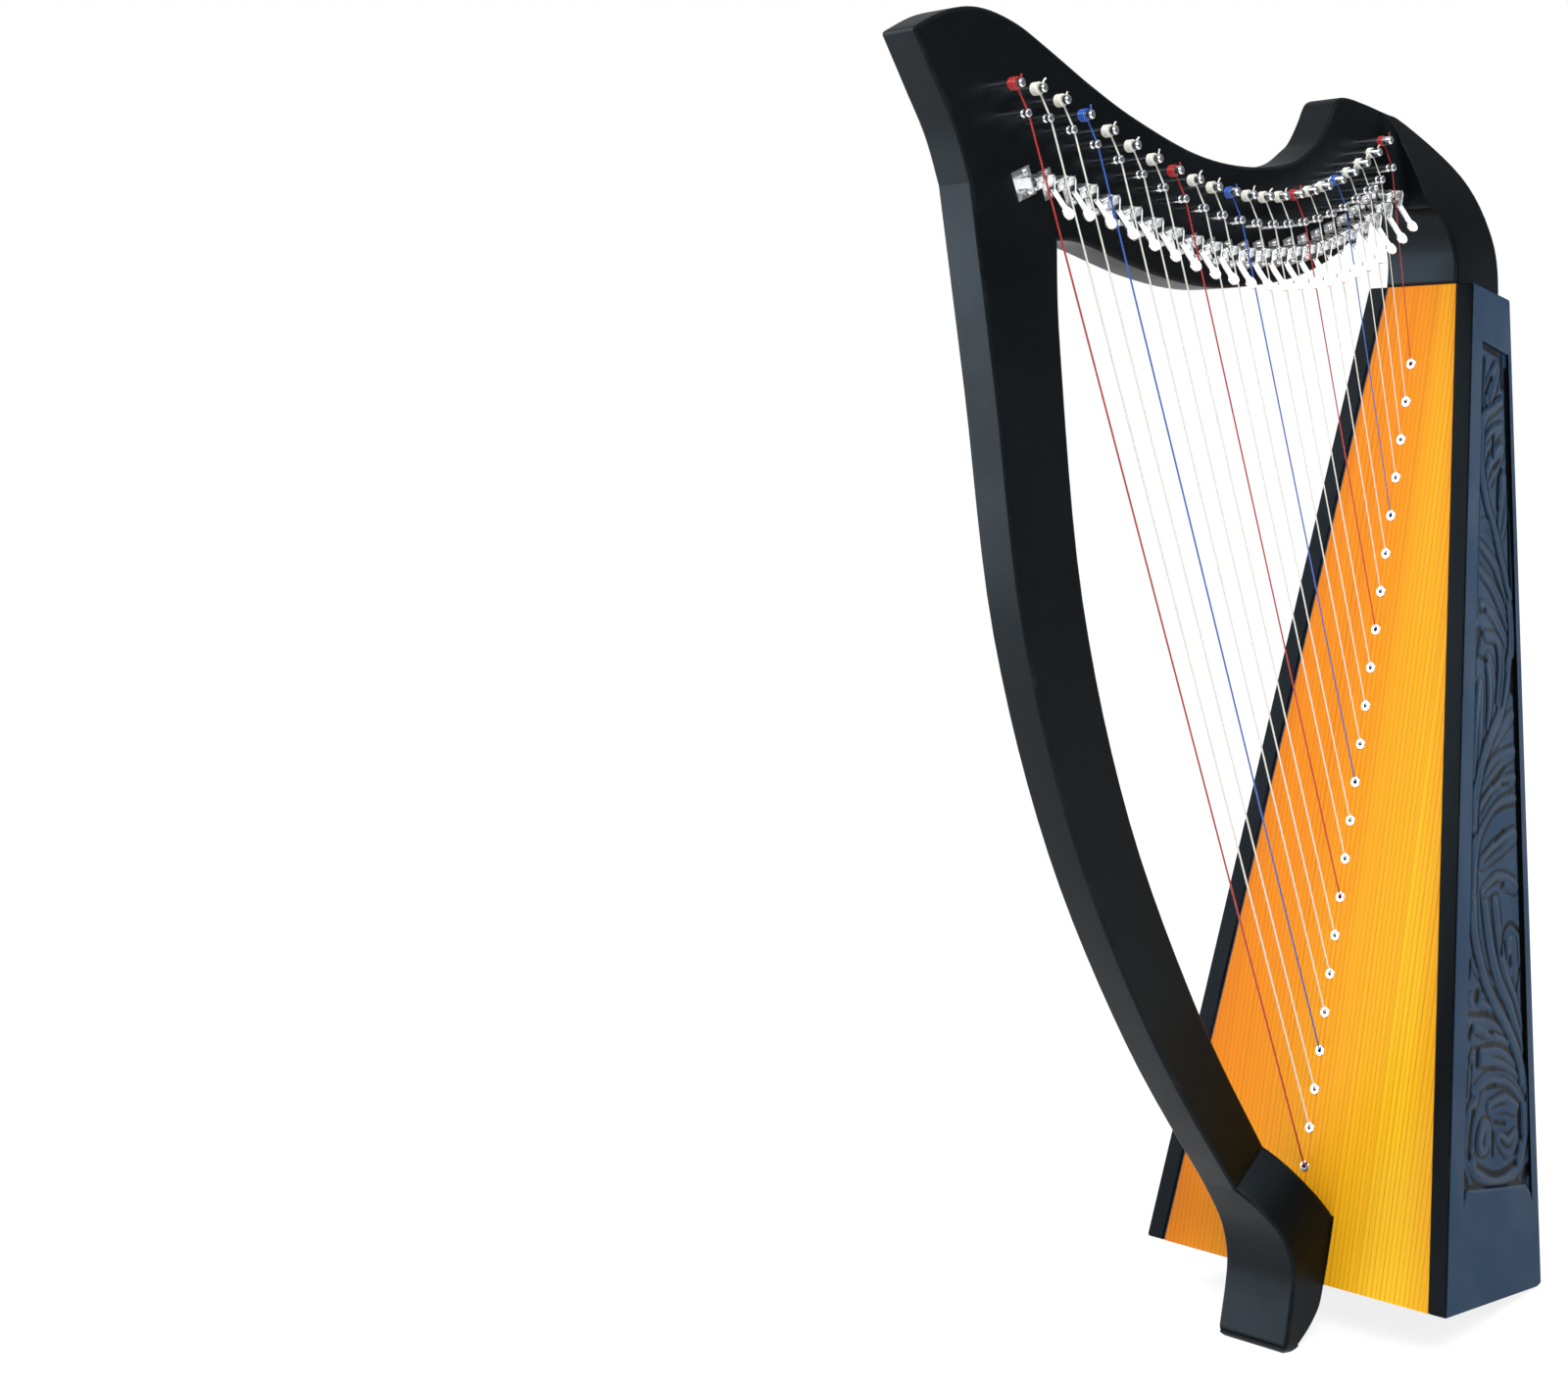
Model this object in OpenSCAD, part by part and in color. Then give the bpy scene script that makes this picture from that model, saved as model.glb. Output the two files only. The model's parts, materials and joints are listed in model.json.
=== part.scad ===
// Small lever harp: tapered soundbox, curved neck and bowed pillar,
// one row of strings with a tuning pin, a bridge pin and a sharping lever each.
// Drawn with the soundboard upright, then leaned back on its foot and its rear edge.
// x runs from the pillar to the player, y from the lever side to the plain side, z up.

/* [Strings] */
// Number of strings, bass to treble
string_count = 22; // [12:1:22]
// Distance between neighbouring eyelets along the soundboard
string_pitch = 25.1; // [20:0.1:31]
// Height of the lowest eyelet above the end of the soundboard
eyelet_low = 71; // [60:1:90]
// Distance from the highest eyelet to the top of the soundboard
eyelet_top_gap = 52; // [40:1:70]
// Speaking length of the bass string
bass_len = 705; // [580:1:850]
// Speaking length halfway along the row
middle_len = 364; // [320:1:440]
// Speaking length of the treble string
treble_len = 130; // [108:1:160]
// Rise of the neck's curve above a plain parabola near the bass
curve_swell = 11.5; // [8:0.5:14]
// Angle between the bass string and the soundboard
bass_angle = 33.1; // [30:0.1:36]
// Angle between the treble string and the soundboard
treble_angle = 29.6; // [28:0.1:33]
// Diameter of the bass string
bass_d = 1.2; // [0.8:0.05:1.5]
// Diameter of the treble string
treble_d = 0.6; // [0.4:0.05:0.8]
// Distance of the strings from the face of the neck
string_out = 16.5; // [15.5:0.5:20]

/* [Soundbox] */
// Front width of the soundbox at the top
top_w = 84.5; // [75:0.5:102]
// Front width of the soundbox at the bottom
bottom_w = 249; // [205:1:300]
// Depth of the soundbox at the top
top_depth = 66; // [56:1:80]
// Depth of the soundbox at the bottom
bottom_depth = 170; // [140:1:205]
// Width of the back at the bottom
back_w = 148; // [120:1:180]
// Rise of the bottom end from front to back
base_rise = 9; // [0:1:12]
// Rise of the top end from front to back
top_rise = 4; // [0:1:6]
// Thickness of the side panels
side_t = 13.6; // [11:0.1:16]
// Thickness of the soundboard
board_t = 4; // [3:0.1:5]
// Depth of the soundboard behind the front edges of the sides
board_sunk = 1.5; // [1:0.1:2]
// Thickness of the back panel
back_t = 6; // [5:0.5:8]
// Thickness of the base panel
base_t = 18; // [15:1:22]
// Height of the block under the neck
top_block_h = 36; // [30:1:44]
// Width of the rib behind the eyelets
rib_w = 26; // [20:1:32]
// Thickness of the rib behind the eyelets
rib_t = 6; // [5:0.5:8]
// Diameter of the lowest sound hole in the back
sound_hole_d = 66; // [54:1:80]
// Depth of the sunk field on each side panel
field_sunk = 3; // [2:0.5:4]

/* [Neck and pillar] */
// Thickness of the neck and of the pillar
neck_t = 28.5; // [23:0.5:35]
// Wood above the tuning pins at the thinnest place
neck_over = 20; // [17:0.5:25]
// Wood below the bass levers
neck_under_bass = 27; // [22:0.5:33]
// Wood below the treble levers
neck_under_treble = 15; // [12:0.5:18]
// Reach of the head beyond the bass tuning pin
head_reach = 65; // [54:1:78]
// Height of the arch between the soundbox and the neck
arch_h = 42.5; // [36:0.5:51]
// Depth of the shoulder where it stands on the soundbox
shoulder_depth = 47; // [40:1:56]
// Distance of the shoulder's cove from the treble string
shoulder_gap = 15; // [12.5:0.5:18]
// Height over which the shoulder thins to the thickness of the neck
shoulder_swell = 99; // [82:1:120]
// Depth of the pillar at the neck
pillar_top_depth = 62; // [52:1:74]
// Depth of the pillar at the foot
pillar_foot_depth = 38; // [32:1:45]
// Widest gap between the bass string and the pillar
pillar_bow = 60; // [50:1:72]

/* [Foot] */
// Drop of the toe below the soundbox
foot_drop = 45; // [37:1:54]
// Reach of the toe in front of the soundboard
toe_reach = 29; // [24:1:35]
// Height of the foot against the soundboard
heel_h = 44; // [37:1:53]
// Length over which the foot swells to its full width
foot_swell = 58; // [48:1:70]
// Radius of the toe's two lower corners, seen from the front
toe_round = 8; // [6.5:0.5:10]

/* [Pins] */
// Diameter of the tuning pins
pin_d = 5.2; // [4.4:0.1:6.2]
// Length of a tuning pin beyond its string on the lever side
pin_tip_over = 7.5; // [6:0.5:9]
// Length of a tuning pin on the plain side
pin_drive_len = 31; // [26:0.5:37]
// Length of the square end of a tuning pin
pin_square_len = 14; // [11:0.5:17]
// Distance from a bridge pin to its tuning pin
pin_rise = 18; // [15:0.1:22]
// Diameter of the bridge pins
bridge_d = 5; // [4.2:0.1:6]
// Length of a bridge pin beyond its string
bridge_over = 3.5; // [2.5:0.5:4.5]
// Length of a bridge pin inside the neck
bridge_seat = 14; // [12:0.5:17]
// Turns of string on a tuning pin
wind_turns = 3; // [1:1:3]

/* [Levers] */
// Least distance from a bridge pin to its lever
lever_drop_least = 18; // [17.5:0.5:22]
// Diameter of a lever's axle
axle_d = 2.4; // [2:0.1:2.8]
// Distance from the axle to the bar that stops the string
bar_reach = 4.5; // [4:0.1:5]
// Length of the handle beyond its arm
blade_len = 19.5; // [16:0.5:24]
// Diameter of the handle's round end
blade_w = 8; // [6.6:0.1:9.6]
// Width of the handle's stalk
stalk_w = 4; // [3.3:0.1:4.8]
// Angle of the handle away from the string
blade_tilt = 26; // [21:1:32]
// Angle that a lever turns to stop its string
lever_throw = 95; // [80:1:100]

/* [Hidden] */
// Clearances
turn_gap = 0.05;
seat_gap = 0.02;
string_gap = 0.1;
wind_gap = 0.45;
coil_gap = 0.6;
lever_gap = 0.4;
stop_gap = 0.3;

// Strings: points are [x, z] on the face of the neck
last = string_count - 1;
board_len = eyelet_low + last * string_pitch + eyelet_top_gap;
function along(i) = i / last;
function mix(a, b, t) = a + (b - a) * t;
function eyelet(i) = [0, eyelet_low + i * string_pitch];
function lean_of(i) = mix(bass_angle, treble_angle, along(i));
function down(i) = [sin(lean_of(i)), -cos(lean_of(i))];
function across(i) = [cos(lean_of(i)), sin(lean_of(i))];
function parabola(a, m, b, t) = a * (1 - t) * (1 - 2 * t) + 4 * m * t * (1 - t) + b * t * (2 * t - 1);
function swell(t) = t * pow(1 - t, 7) / 0.0491;
function length_of(i) = parabola(bass_len, middle_len, treble_len, along(i)) + curve_swell * swell(along(i));
function nut(i) = eyelet(i) - length_of(i) * down(i);
function string_r(i) = mix(bass_d, treble_d, along(i)) / 2;

// Pins
pin_r = pin_d / 2;
bridge_r = bridge_d / 2;
groove_r = bridge_r - 0.8;
bridge_len = string_out + bridge_over;
pin_tip_len = string_out + pin_tip_over;
pin_set = 1;
wind_steps = 10;
function bridge(i) = nut(i) - (groove_r + string_r(i) + string_gap) * across(i);
function wind_r(i) = pin_r + wind_gap + string_r(i);
function tuning(i) = nut(i) - pin_rise * down(i) - (wind_r(i) + pin_set) * across(i);
function wind_pitch(i) = 2 * string_r(i) + coil_gap;
wind_start = -string_out + 1.5;
hole_y = -pin_tip_len + 3;
hole_d = 1.8;

// Levers: u runs down the string, v across it to the treble, n out of the neck
semitone = 1 - pow(2, -1 / 12);
plate_len = 17;
plate_v0 = -6.2;
bass_plate_v0 = -11;
plate_t = 1.2;
ear_v = 4.2;
ear_t = 1;
ear_r = 3;
bar_r = 1;
arm_v = ear_v + lever_gap;
arm_t = 1.2;
arm_r = ear_r - 0.4;
arm_len = 9;
arm_out = 8.6;
arm_rise = 4.2;
blade_t = 1.2;
blade_gap = 0.8;
hub_r = 2.2;
screw_d = 3;
screw_u = 5.6;
function lever_drop(i) = max(lever_drop_least, semitone * length_of(i));
function lever_at(i) = nut(i) + lever_drop(i) * down(i);
function string_n(i) = string_out * (1 - lever_drop(i) / length_of(i));
function axle_n(i) = string_n(i) - string_r(i) - stop_gap - bar_r - bar_reach;
function blade_v(i) = string_r(i) + blade_gap + blade_w / 2;

// Curves through a few points
function blend(a, b, c, d, t) =
    (2 * b + (c - a) * t + (2 * a - 5 * b + 4 * c - d) * t * t + (3 * b - a - 3 * c + d) * t * t * t) / 2;
function curve(p, n) = [
    for (k = [0 : len(p) - 2], s = [0 : n - 1])
        blend(p[max(k - 1, 0)], p[k], p[k + 1], p[min(k + 2, len(p) - 1)], s / n),
    p[len(p) - 1]
];
curve_steps = 6;

// Neck outline, from the pillar joint over the head to the soundbox and back under the strings
function bass_to_treble(t) = round(t * last);
function over(t, h) = tuning(bass_to_treble(t)) + [0, h];
function under(t) = lever_at(bass_to_treble(t)) - [0, mix(neck_under_bass, neck_under_treble, t)];
bass_pin = tuning(0);
treble_pin = tuning(last);
glue_gap = 0.03;
shoulder_back = [shoulder_depth, board_len + glue_gap + top_rise * shoulder_depth / top_depth];
arch_top = [-arch_h * 0.73, board_len + arch_h];
joint_in = lever_at(0) + [32, -neck_under_bass];
joint_out = joint_in + [-pillar_top_depth - 12, 16];
head_tip = bass_pin + [-head_reach, 16];
head_front = [
    joint_out, mix(joint_out, head_tip, 0.35) + [5, -1], mix(joint_out, head_tip, 0.68) + [4, -2], head_tip
];
crest = treble_pin + [40, 23];
neck_top = [
    head_tip, bass_pin + [-0.66 * head_reach, 32], bass_pin + [-0.28 * head_reach, 41], bass_pin + [10, 40.5],
    over(0.1, neck_over + 13.5), over(0.19, neck_over + 8.5), over(0.29, neck_over + 6),
    over(0.43, neck_over + 2.5), over(0.57, neck_over + 0.5), over(0.71, neck_over - 0.5),
    treble_pin + [-45, -14], treble_pin + [-38.5, -6], treble_pin + [-33, 7], treble_pin + [-28.5, 20],
    treble_pin + [-20, 24.5], treble_pin + [-3, 25.5], treble_pin + [20, 25], crest,
    mix(crest, shoulder_back, 0.4) + [16, 14], mix(crest, shoulder_back, 0.7) + [16, 7], shoulder_back
];
neck_under = [
    [0, board_len + glue_gap], arch_top + [28, -24.5], arch_top + [16.5, -6.5], arch_top,
    under(1) - [1, 0], under(0.86), under(0.71), under(0.57), under(0.43), under(0.29), under(0.14), joint_in
];
neck_outline = concat(
    curve(head_front, curve_steps), curve(neck_top, curve_steps), curve(neck_under, curve_steps)
);

// Pillar outline, beside the bass string at four places between its two joints
pillar_at = [0.2, 0.4, 0.6, 0.8];
bow_share = [0.16, 0.78, 1, 0.82];
foot_in = [-42, 83 + heel_h - 44];
foot_out = [-64, 54 + heel_h - 44];
function beside(f, gap) = nut(0) + f * bass_len * down(0) - gap * across(0);
function pillar_depth(f) = mix(pillar_top_depth, pillar_foot_depth, f);
pillar_inner = [joint_in, for (k = [0 : 3]) beside(pillar_at[k], bow_share[k] * pillar_bow), foot_in];
pillar_outer = [
    joint_out,
    for (k = [0 : 3]) beside(pillar_at[k], bow_share[k] * pillar_bow + pillar_depth(pillar_at[k])),
    foot_out
];
pillar_front = curve(pillar_outer, curve_steps);
pillar_outline = concat(
    curve(pillar_inner, curve_steps), [for (k = [5 * curve_steps : -1 : 0]) pillar_front[k]]
);

// Foot outline, from the pillar down the heel, round the sole and up the toe
block_half = neck_t;
toe = [-toe_reach, -foot_drop];
foot_heel = [foot_in, [-22, heel_h + 20], [-8, heel_h + 8], [board_sunk, heel_h]];
foot_sole = [
    [board_sunk, 0], [0, -0.3 * foot_drop], [-6, -0.57 * foot_drop], [-14, -0.8 * foot_drop], toe + [6, 0]
];
foot_toe = [
    toe + [2.5, 1], toe + [0, 4], toe + [0, 14], toe + [0, foot_drop - 10],
    [-toe_reach - 1.5, 5], [-toe_reach - 7, 20], [-toe_reach - 16, heel_h - 10], foot_out
];
foot_outline = concat(
    curve(foot_heel, curve_steps), curve(foot_sole, curve_steps), curve(foot_toe, curve_steps)
);

// Stance: the toe and the rear edge of the soundbox rest on the ground, each with a flat land
land = 1.2;
rest_front = toe + [5, land];
rest_back = [bottom_depth, base_rise + land];
lean = atan((rest_back[1] - rest_front[1]) / (rest_back[0] - rest_front[0]));
function leaned_x(p) = p[0] * cos(lean) + p[1] * sin(lean);
function leaned_z(p) = p[1] * cos(lean) - p[0] * sin(lean);

// Soundbox: side outline and the slant of the side panels
box_outline = [[0, 0], [bottom_depth, base_rise], [top_depth, board_len + top_rise], [0, board_len]];
side_up = [0, (top_w - bottom_w) / 2, board_len];
side_in = [bottom_depth, (back_w - bottom_w) / 2, base_rise];
side_face = cross(side_up, side_in) / norm(cross(side_up, side_in));
side_tilt = asin(side_face[2]);
side_turn = atan2(-side_face[0], side_face[1]);
back_slant = atan2(bottom_depth - top_depth, board_len + top_rise - base_rise);
board_back = board_sunk + board_t;
function back_x(z) = bottom_depth - (z - base_rise) * tan(back_slant);
fit_gap = 0.05;

far_x = [for (p = concat(neck_outline, box_outline)) leaned_x(p)];
mid_x = (min(far_x) + max(far_x)) / 2;
ground_z = leaned_z(rest_front);

big = 4 * board_len;
$fn = 48;

pin_names = [for (i = [1 : string_count]) str("tuning_pin_", i < 10 ? "0" : "", i)];
lever_names = [for (i = [1 : string_count]) str("lever_", i < 10 ? "0" : "", i)];

// Leans the finished piece back and centres it over the ground
module stand() {
    translate([-mid_x, 0, -ground_z]) rotate([0, lean, 0]) children();
}

// An outline in the side view, from one y to another
module plank(outline, y0, y1) {
    translate([0, y1, 0]) rotate([90, 0, 0]) linear_extrude(y1 - y0) polygon(outline);
}

// Turns a piece drawn up the z axis to run along y, at a point of the neck
module along_y(p) {
    translate([p[0], 0, p[1]]) rotate([-90, 0, 0]) children();
}

// Everything below the ground
module ground() {
    translate([rest_front[0], 0, rest_front[1]]) rotate([0, -lean, 0])
        translate([-big / 2, -big / 2, -big]) cube(big);
}

// The space inside the plain-side panel's outer face, less a depth
module inside_of_side(depth) {
    translate([0, bottom_w / 2, 0]) rotate([side_tilt, 0, side_turn])
        translate([-big / 2, -big - depth, -big / 2]) cube(big);
}

// The space between the two side panels
module between_sides() {
    intersection() {
        inside_of_side(side_t + fit_gap);
        mirror([0, 1, 0]) inside_of_side(side_t + fit_gap);
    }
}

module soundbox_filling(outline) {
    intersection() {
        plank(outline, -bottom_w, bottom_w);
        between_sides();
    }
}

module soundboard() {
    board = [[board_sunk, 0], [board_back, 0], [board_back, board_len], [board_sunk, board_len]];
    color("#e08a2c") difference() {
        soundbox_filling(board);
        for (i = [0 : last])
            translate([0, 0, eyelet(i)[1]]) rotate([0, 90, 0]) cylinder(r = barrel_r + seat_gap, h = 20);
        foot_dowels(seat_gap);
    }
}

module string_rib() {
    low = base_t + 4;
    high = board_len - top_block_h - 2;
    color("#c9a877") difference() {
        translate([board_back, -rib_w / 2, low]) cube([rib_t, rib_w, high - low]);
        for (i = [0 : last])
            translate([0, 0, eyelet(i)[1]]) rotate([0, 90, 0]) cylinder(r = barrel_in, h = 40);
    }
}

// Side panel with the sunk field that holds the carving
field_low = 66;
field_high = 34;
field_edges = [[24, 12], [20, 6]];
function field_corner(z, edge) = [[edge[0], z], [back_x(z) - edge[1], z]];
field_bottom = field_corner(field_low, field_edges[0]);
field_top = field_corner(board_len - field_high, field_edges[1]);

module side_panel() {
    difference() {
        intersection() {
            plank(box_outline, 0, bottom_w);
            inside_of_side(0);
        }
        inside_of_side(side_t);
        difference() {
            plank([field_bottom[0], field_bottom[1], field_top[1], field_top[0]], 0, bottom_w);
            inside_of_side(field_sunk);
        }
        ground();
    }
}

module right_side_panel() {
    color("#1b1d22") side_panel();
}

module left_side_panel() {
    color("#1b1d22") mirror([0, 1, 0]) side_panel();
}

hole_share = [1, 0.85, 0.65];
hole_height = [0.22, 0.47, 0.7];

module back_panel() {
    skin = [
        [bottom_depth, base_rise], [top_depth, board_len + top_rise],
        [top_depth - back_t, board_len + top_rise], [bottom_depth - back_t, base_rise]
    ];
    color("#1b1d22") difference() {
        soundbox_filling(skin);
        for (k = [0 : 2]) {
            z = hole_height[k] * board_len;
            translate([back_x(z), 0, z]) rotate([0, 90 - back_slant, 0])
                cylinder(d = hole_share[k] * sound_hole_d, h = 6 * back_t, center = true);
        }
        ground();
    }
}

module base_panel() {
    floor_z = [for (x = [board_back, bottom_depth]) base_rise * x / bottom_depth];
    back_low = back_x(floor_z[1]) - back_t - fit_gap;
    back_high = back_x(floor_z[1] + base_t) - back_t - fit_gap;
    low_z = base_rise * back_low / bottom_depth;
    color("#3a2c20") difference() {
        soundbox_filling([
            [board_back, floor_z[0]], [back_low, low_z], [back_high, low_z + base_t],
            [board_back, floor_z[0] + base_t]
        ]);
        foot_dowels(seat_gap);
        ground();
    }
}

module top_block() {
    low = board_len - top_block_h;
    back = back_x(board_len + top_rise) - back_t - fit_gap;
    top_z = [for (x = [board_back, back]) board_len + top_rise * x / top_depth];
    color("#3a2c20") difference() {
        soundbox_filling([
            [board_back, low], [back_x(low) - back_t - fit_gap, low], [back, top_z[1]], [board_back, top_z[0]]
        ]);
        shoulder_dowels(seat_gap);
    }
}

// Wooden dowels in the four joints of the frame
dowel_r = 4;
dowel_len = 44;

module dowel_pair(p, angle, spread, y, slack) {
    for (s = [-0.5, 0.5])
        translate([p[0], y, p[1]]) rotate([0, angle, 0]) translate([s * spread, 0, 0])
            cylinder(r = dowel_r + slack, h = dowel_len + 2 * slack, center = true);
}

module head_dowels(slack) {
    run = joint_in - joint_out;
    dowel_pair((joint_in + joint_out) / 2, -atan2(run[1], run[0]), 26, neck_t / 2, slack);
}

module ankle_dowels(slack) {
    run = foot_in - foot_out;
    dowel_pair((foot_in + foot_out) / 2, -atan2(run[1], run[0]), 14, neck_t / 2, slack);
}

module shoulder_dowels(slack) {
    for (y = [-12, 12])
        translate([shoulder_depth / 2, y, board_len])
            cylinder(r = dowel_r + slack, h = dowel_len + 2 * slack, center = true);
}

module foot_dowels(slack) {
    for (y = [-14, 14])
        translate([-dowel_len / 3 - slack, y, base_t / 2 + 1]) rotate([0, 90, 0])
            cylinder(r = dowel_r + slack, h = dowel_len + 2 * slack);
}

module joint_dowels() {
    color("#c9a877") {
        head_dowels(0);
        ankle_dowels(0);
        shoulder_dowels(0);
        foot_dowels(0);
    }
}

// Places a piece drawn in u, v, n at a point of string i
module at_string(i, p) {
    translate([p[0], 0, p[1]]) rotate([0, 90 - lean_of(i), 0]) rotate([90, 0, 0]) children();
}

// Wood cut away in front of the plank, up to a cove that runs down beside the treble string
cove_r = 8;
cove_turn = 4;

module shoulder_cut() {
    at_string(last, nut(last)) rotate([90, 0, 90 - cove_turn]) linear_extrude(big, center = true) {
        translate([-big, 0]) square([big + shoulder_gap, big]);
        translate([-big, cove_r]) square([big + shoulder_gap + cove_r, big]);
        translate([shoulder_gap, cove_r]) circle(cove_r);
    }
}

// Keeps the plank, and on the lever side a bulge that thins away over a length
function bulge_r(length) = (length * length + block_half * block_half) / (2 * block_half);

module plank_side() {
    translate([-big / 2, 0, -big / 2]) cube([big, neck_t, big]);
}

module neck() {
    color("#15161a") difference() {
        intersection() {
            plank(neck_outline, -block_half, neck_t);
            union() {
                plank_side();
                translate([0, bulge_r(shoulder_swell) - block_half, board_len]) rotate([0, 90, 0])
                    cylinder(r = bulge_r(shoulder_swell), h = big, center = true);
            }
        }
        shoulder_cut();
        for (i = [0 : last]) {
            along_y(tuning(i)) cylinder(r = pin_r + turn_gap, h = 4 * neck_t, center = true);
            along_y(bridge(i)) translate([0, 0, -1])
                cylinder(r = bridge_r + seat_gap, h = bridge_seat + 1 + seat_gap);
        }
        head_dowels(seat_gap);
        shoulder_dowels(seat_gap);
    }
}

module pillar() {
    color("#15161a") difference() {
        plank(pillar_outline, 0, neck_t);
        head_dowels(seat_gap);
        ankle_dowels(seat_gap);
    }
}

// The foot as seen from the front, with its two lower corners rounded
module foot_front() {
    half = block_half - toe_round;
    translate([-big / 2, 0, -foot_drop]) rotate([90, 0, 90]) linear_extrude(big) {
        translate([-half, 0]) square([2 * half, big]);
        translate([-block_half, toe_round]) square([2 * block_half, big]);
        for (s = [-1, 1]) translate([s * half, toe_round]) circle(toe_round);
    }
}

// The foot carries on the pillar's plain face and swells to twice its thickness on the lever side
module foot() {
    run = foot_in - foot_out;
    color("#15161a") difference() {
        intersection() {
            plank(foot_outline, -block_half, neck_t);
            foot_front();
            union() {
                plank_side();
                translate([foot_out[0], 0, foot_out[1]]) rotate([0, 90 - atan2(run[1], run[0]), 0]) {
                    translate([foot_swell, -block_half, -big / 2]) cube([big, 2 * block_half, big]);
                    translate([foot_swell, bulge_r(foot_swell) - block_half, 0])
                        cylinder(r = bulge_r(foot_swell), h = big, center = true);
                }
            }
        }
        ankle_dowels(seat_gap);
        foot_dowels(seat_gap);
        ground();
    }
}

// Metal eyelets that line the string holes
barrel_in = 1.5;
barrel_r = 2.4;
flange_r = 3.6;
flange_t = 0.8;

module grommets() {
    color("#b9b6ae") for (i = [0 : last])
        translate([board_sunk, 0, eyelet(i)[1]]) rotate([0, 90, 0]) rotate_extrude()
            polygon([
                [barrel_in, board_t], [barrel_r, board_t], [barrel_r, 0], [flange_r, 0],
                [flange_r, -flange_t / 2], [flange_r - flange_t / 2, -flange_t], [barrel_in, -flange_t]
            ]);
}

module bridge_pins() {
    groove = -string_out;
    lip = 1.1;
    color("#9aa0a8") for (i = [0 : last]) along_y(bridge(i)) rotate_extrude()
        polygon([
            [0, bridge_seat], [bridge_r, bridge_seat], [bridge_r, groove + lip], [groove_r, groove + lip / 2],
            [groove_r, groove - lip / 2], [bridge_r, groove - lip], [bridge_r, -bridge_len + 0.6],
            [bridge_r - 0.6, -bridge_len], [0, -bridge_len]
        ]);
}

module tuning_pin(i) {
    square_w = pin_d * 0.71;
    round_end = neck_t + pin_drive_len - pin_square_len;
    color("#c4c8ce") along_y(tuning(i)) difference() {
        union() {
            rotate_extrude() polygon([
                [0, -pin_tip_len], [pin_r - 0.8, -pin_tip_len], [pin_r, -pin_tip_len + 0.8],
                [pin_r, round_end], [0, round_end]
            ]);
            translate([0, 0, round_end - 1]) rotate([0, 0, lean_of(i)])
                linear_extrude(pin_square_len + 1) square(square_w, center = true);
        }
        translate([0, 0, hole_y]) rotate([90, 0, 0]) cylinder(d = hole_d, h = 2 * pin_d, center = true);
    }
}

// One ear of a lever bracket, in u and n
module ear(height) {
    translate([0, height]) circle(ear_r);
    translate([-ear_r, 0]) square([2 * ear_r, height]);
}

module standing(v, t) {
    translate([0, v + t, 0]) rotate([90, 0, 0]) linear_extrude(t) children();
}

module lever_bracket(i) {
    v0 = i == 0 ? bass_plate_v0 : plate_v0;
    difference() {
        union() {
            translate([-plate_len / 2, v0, 0]) cube([plate_len, ear_v - v0, plate_t]);
            for (v = [-ear_v, ear_v - ear_t]) standing(v, ear_t) ear(axle_n(i));
        }
        translate([0, 0, axle_n(i)]) rotate([90, 0, 0])
            cylinder(d = axle_d + 2 * turn_gap, h = 4 * ear_v, center = true);
        for (u = [-screw_u, screw_u]) translate([u, 0, -1]) cylinder(d = screw_d, h = 4);
    }
}

module lever_brackets() {
    color("#c9ccd1") for (i = [0 : last]) at_string(i, lever_at(i)) lever_bracket(i);
}

// The lever: axle, hub with the bar that stops the string, arm and blade
module lever_blade() {
    round_u = blade_len - blade_w / 2;
    translate([-1, -stalk_w / 2]) square([round_u + 1, stalk_w]);
    translate([round_u, 0]) circle(d = blade_w);
}

module lever(i) {
    hub_v = ear_v - ear_t - lever_gap;
    bar_turn = lever_throw - 90;
    color("#d4d6da") at_string(i, lever_at(i)) translate([0, 0, axle_n(i)]) {
        rotate([-90, 0, 0]) translate([0, 0, -ear_v]) cylinder(d = axle_d, h = ear_v + arm_v + arm_t);
        standing(-hub_v, 2 * hub_v) {
            circle(hub_r);
            rotate(-bar_turn) {
                translate([0, -bar_r]) square([bar_reach, 2 * bar_r]);
                translate([bar_reach, 0]) circle(bar_r);
            }
        }
        standing(arm_v, arm_t) {
            circle(arm_r);
            polygon([
                [0, -arm_r], [arm_len, arm_rise - 2.4], [arm_len, arm_rise + 1.4], [1.2, arm_out],
                [-1.2, arm_out], [-arm_r, 0]
            ]);
        }
        translate([arm_len - 0.5, blade_v(i), arm_rise]) rotate([0, -blade_tilt, 0])
            linear_extrude(blade_t, center = true) lever_blade();
    }
}

// A tube of five sides through a list of points, with a radius at each
tube_sides = 5;
function unit(v) = v / norm(v);
function heading(p, k) = unit(p[min(k + 1, len(p) - 1)] - p[max(k - 1, 0)]);
function ring(p, k, r) =
    let (h = heading(p, k), a = unit(cross(h, [0, 1, 0])), b = cross(h, a), step = 360 / tube_sides)
    [for (s = [0 : tube_sides - 1]) p[k] + r * (cos(step * s) * a + sin(step * s) * b)];

module tube(p, r) {
    rings = [for (k = [0 : len(p) - 1]) each ring(p, k, r[k])];
    end = (len(p) - 1) * tube_sides;
    walls = [
        for (k = [0 : len(p) - 2], s = [0 : tube_sides - 1])
            let (n = (s + 1) % tube_sides, a = k * tube_sides, b = a + tube_sides)
            each [[a + s, b + s, a + n], [a + n, b + s, b + n]]
    ];
    caps = [for (s = [1 : tube_sides - 2]) each [[0, s, s + 1], [end, end + s + 1, end + s]]];
    polyhedron(rings, concat(walls, caps));
}

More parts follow.
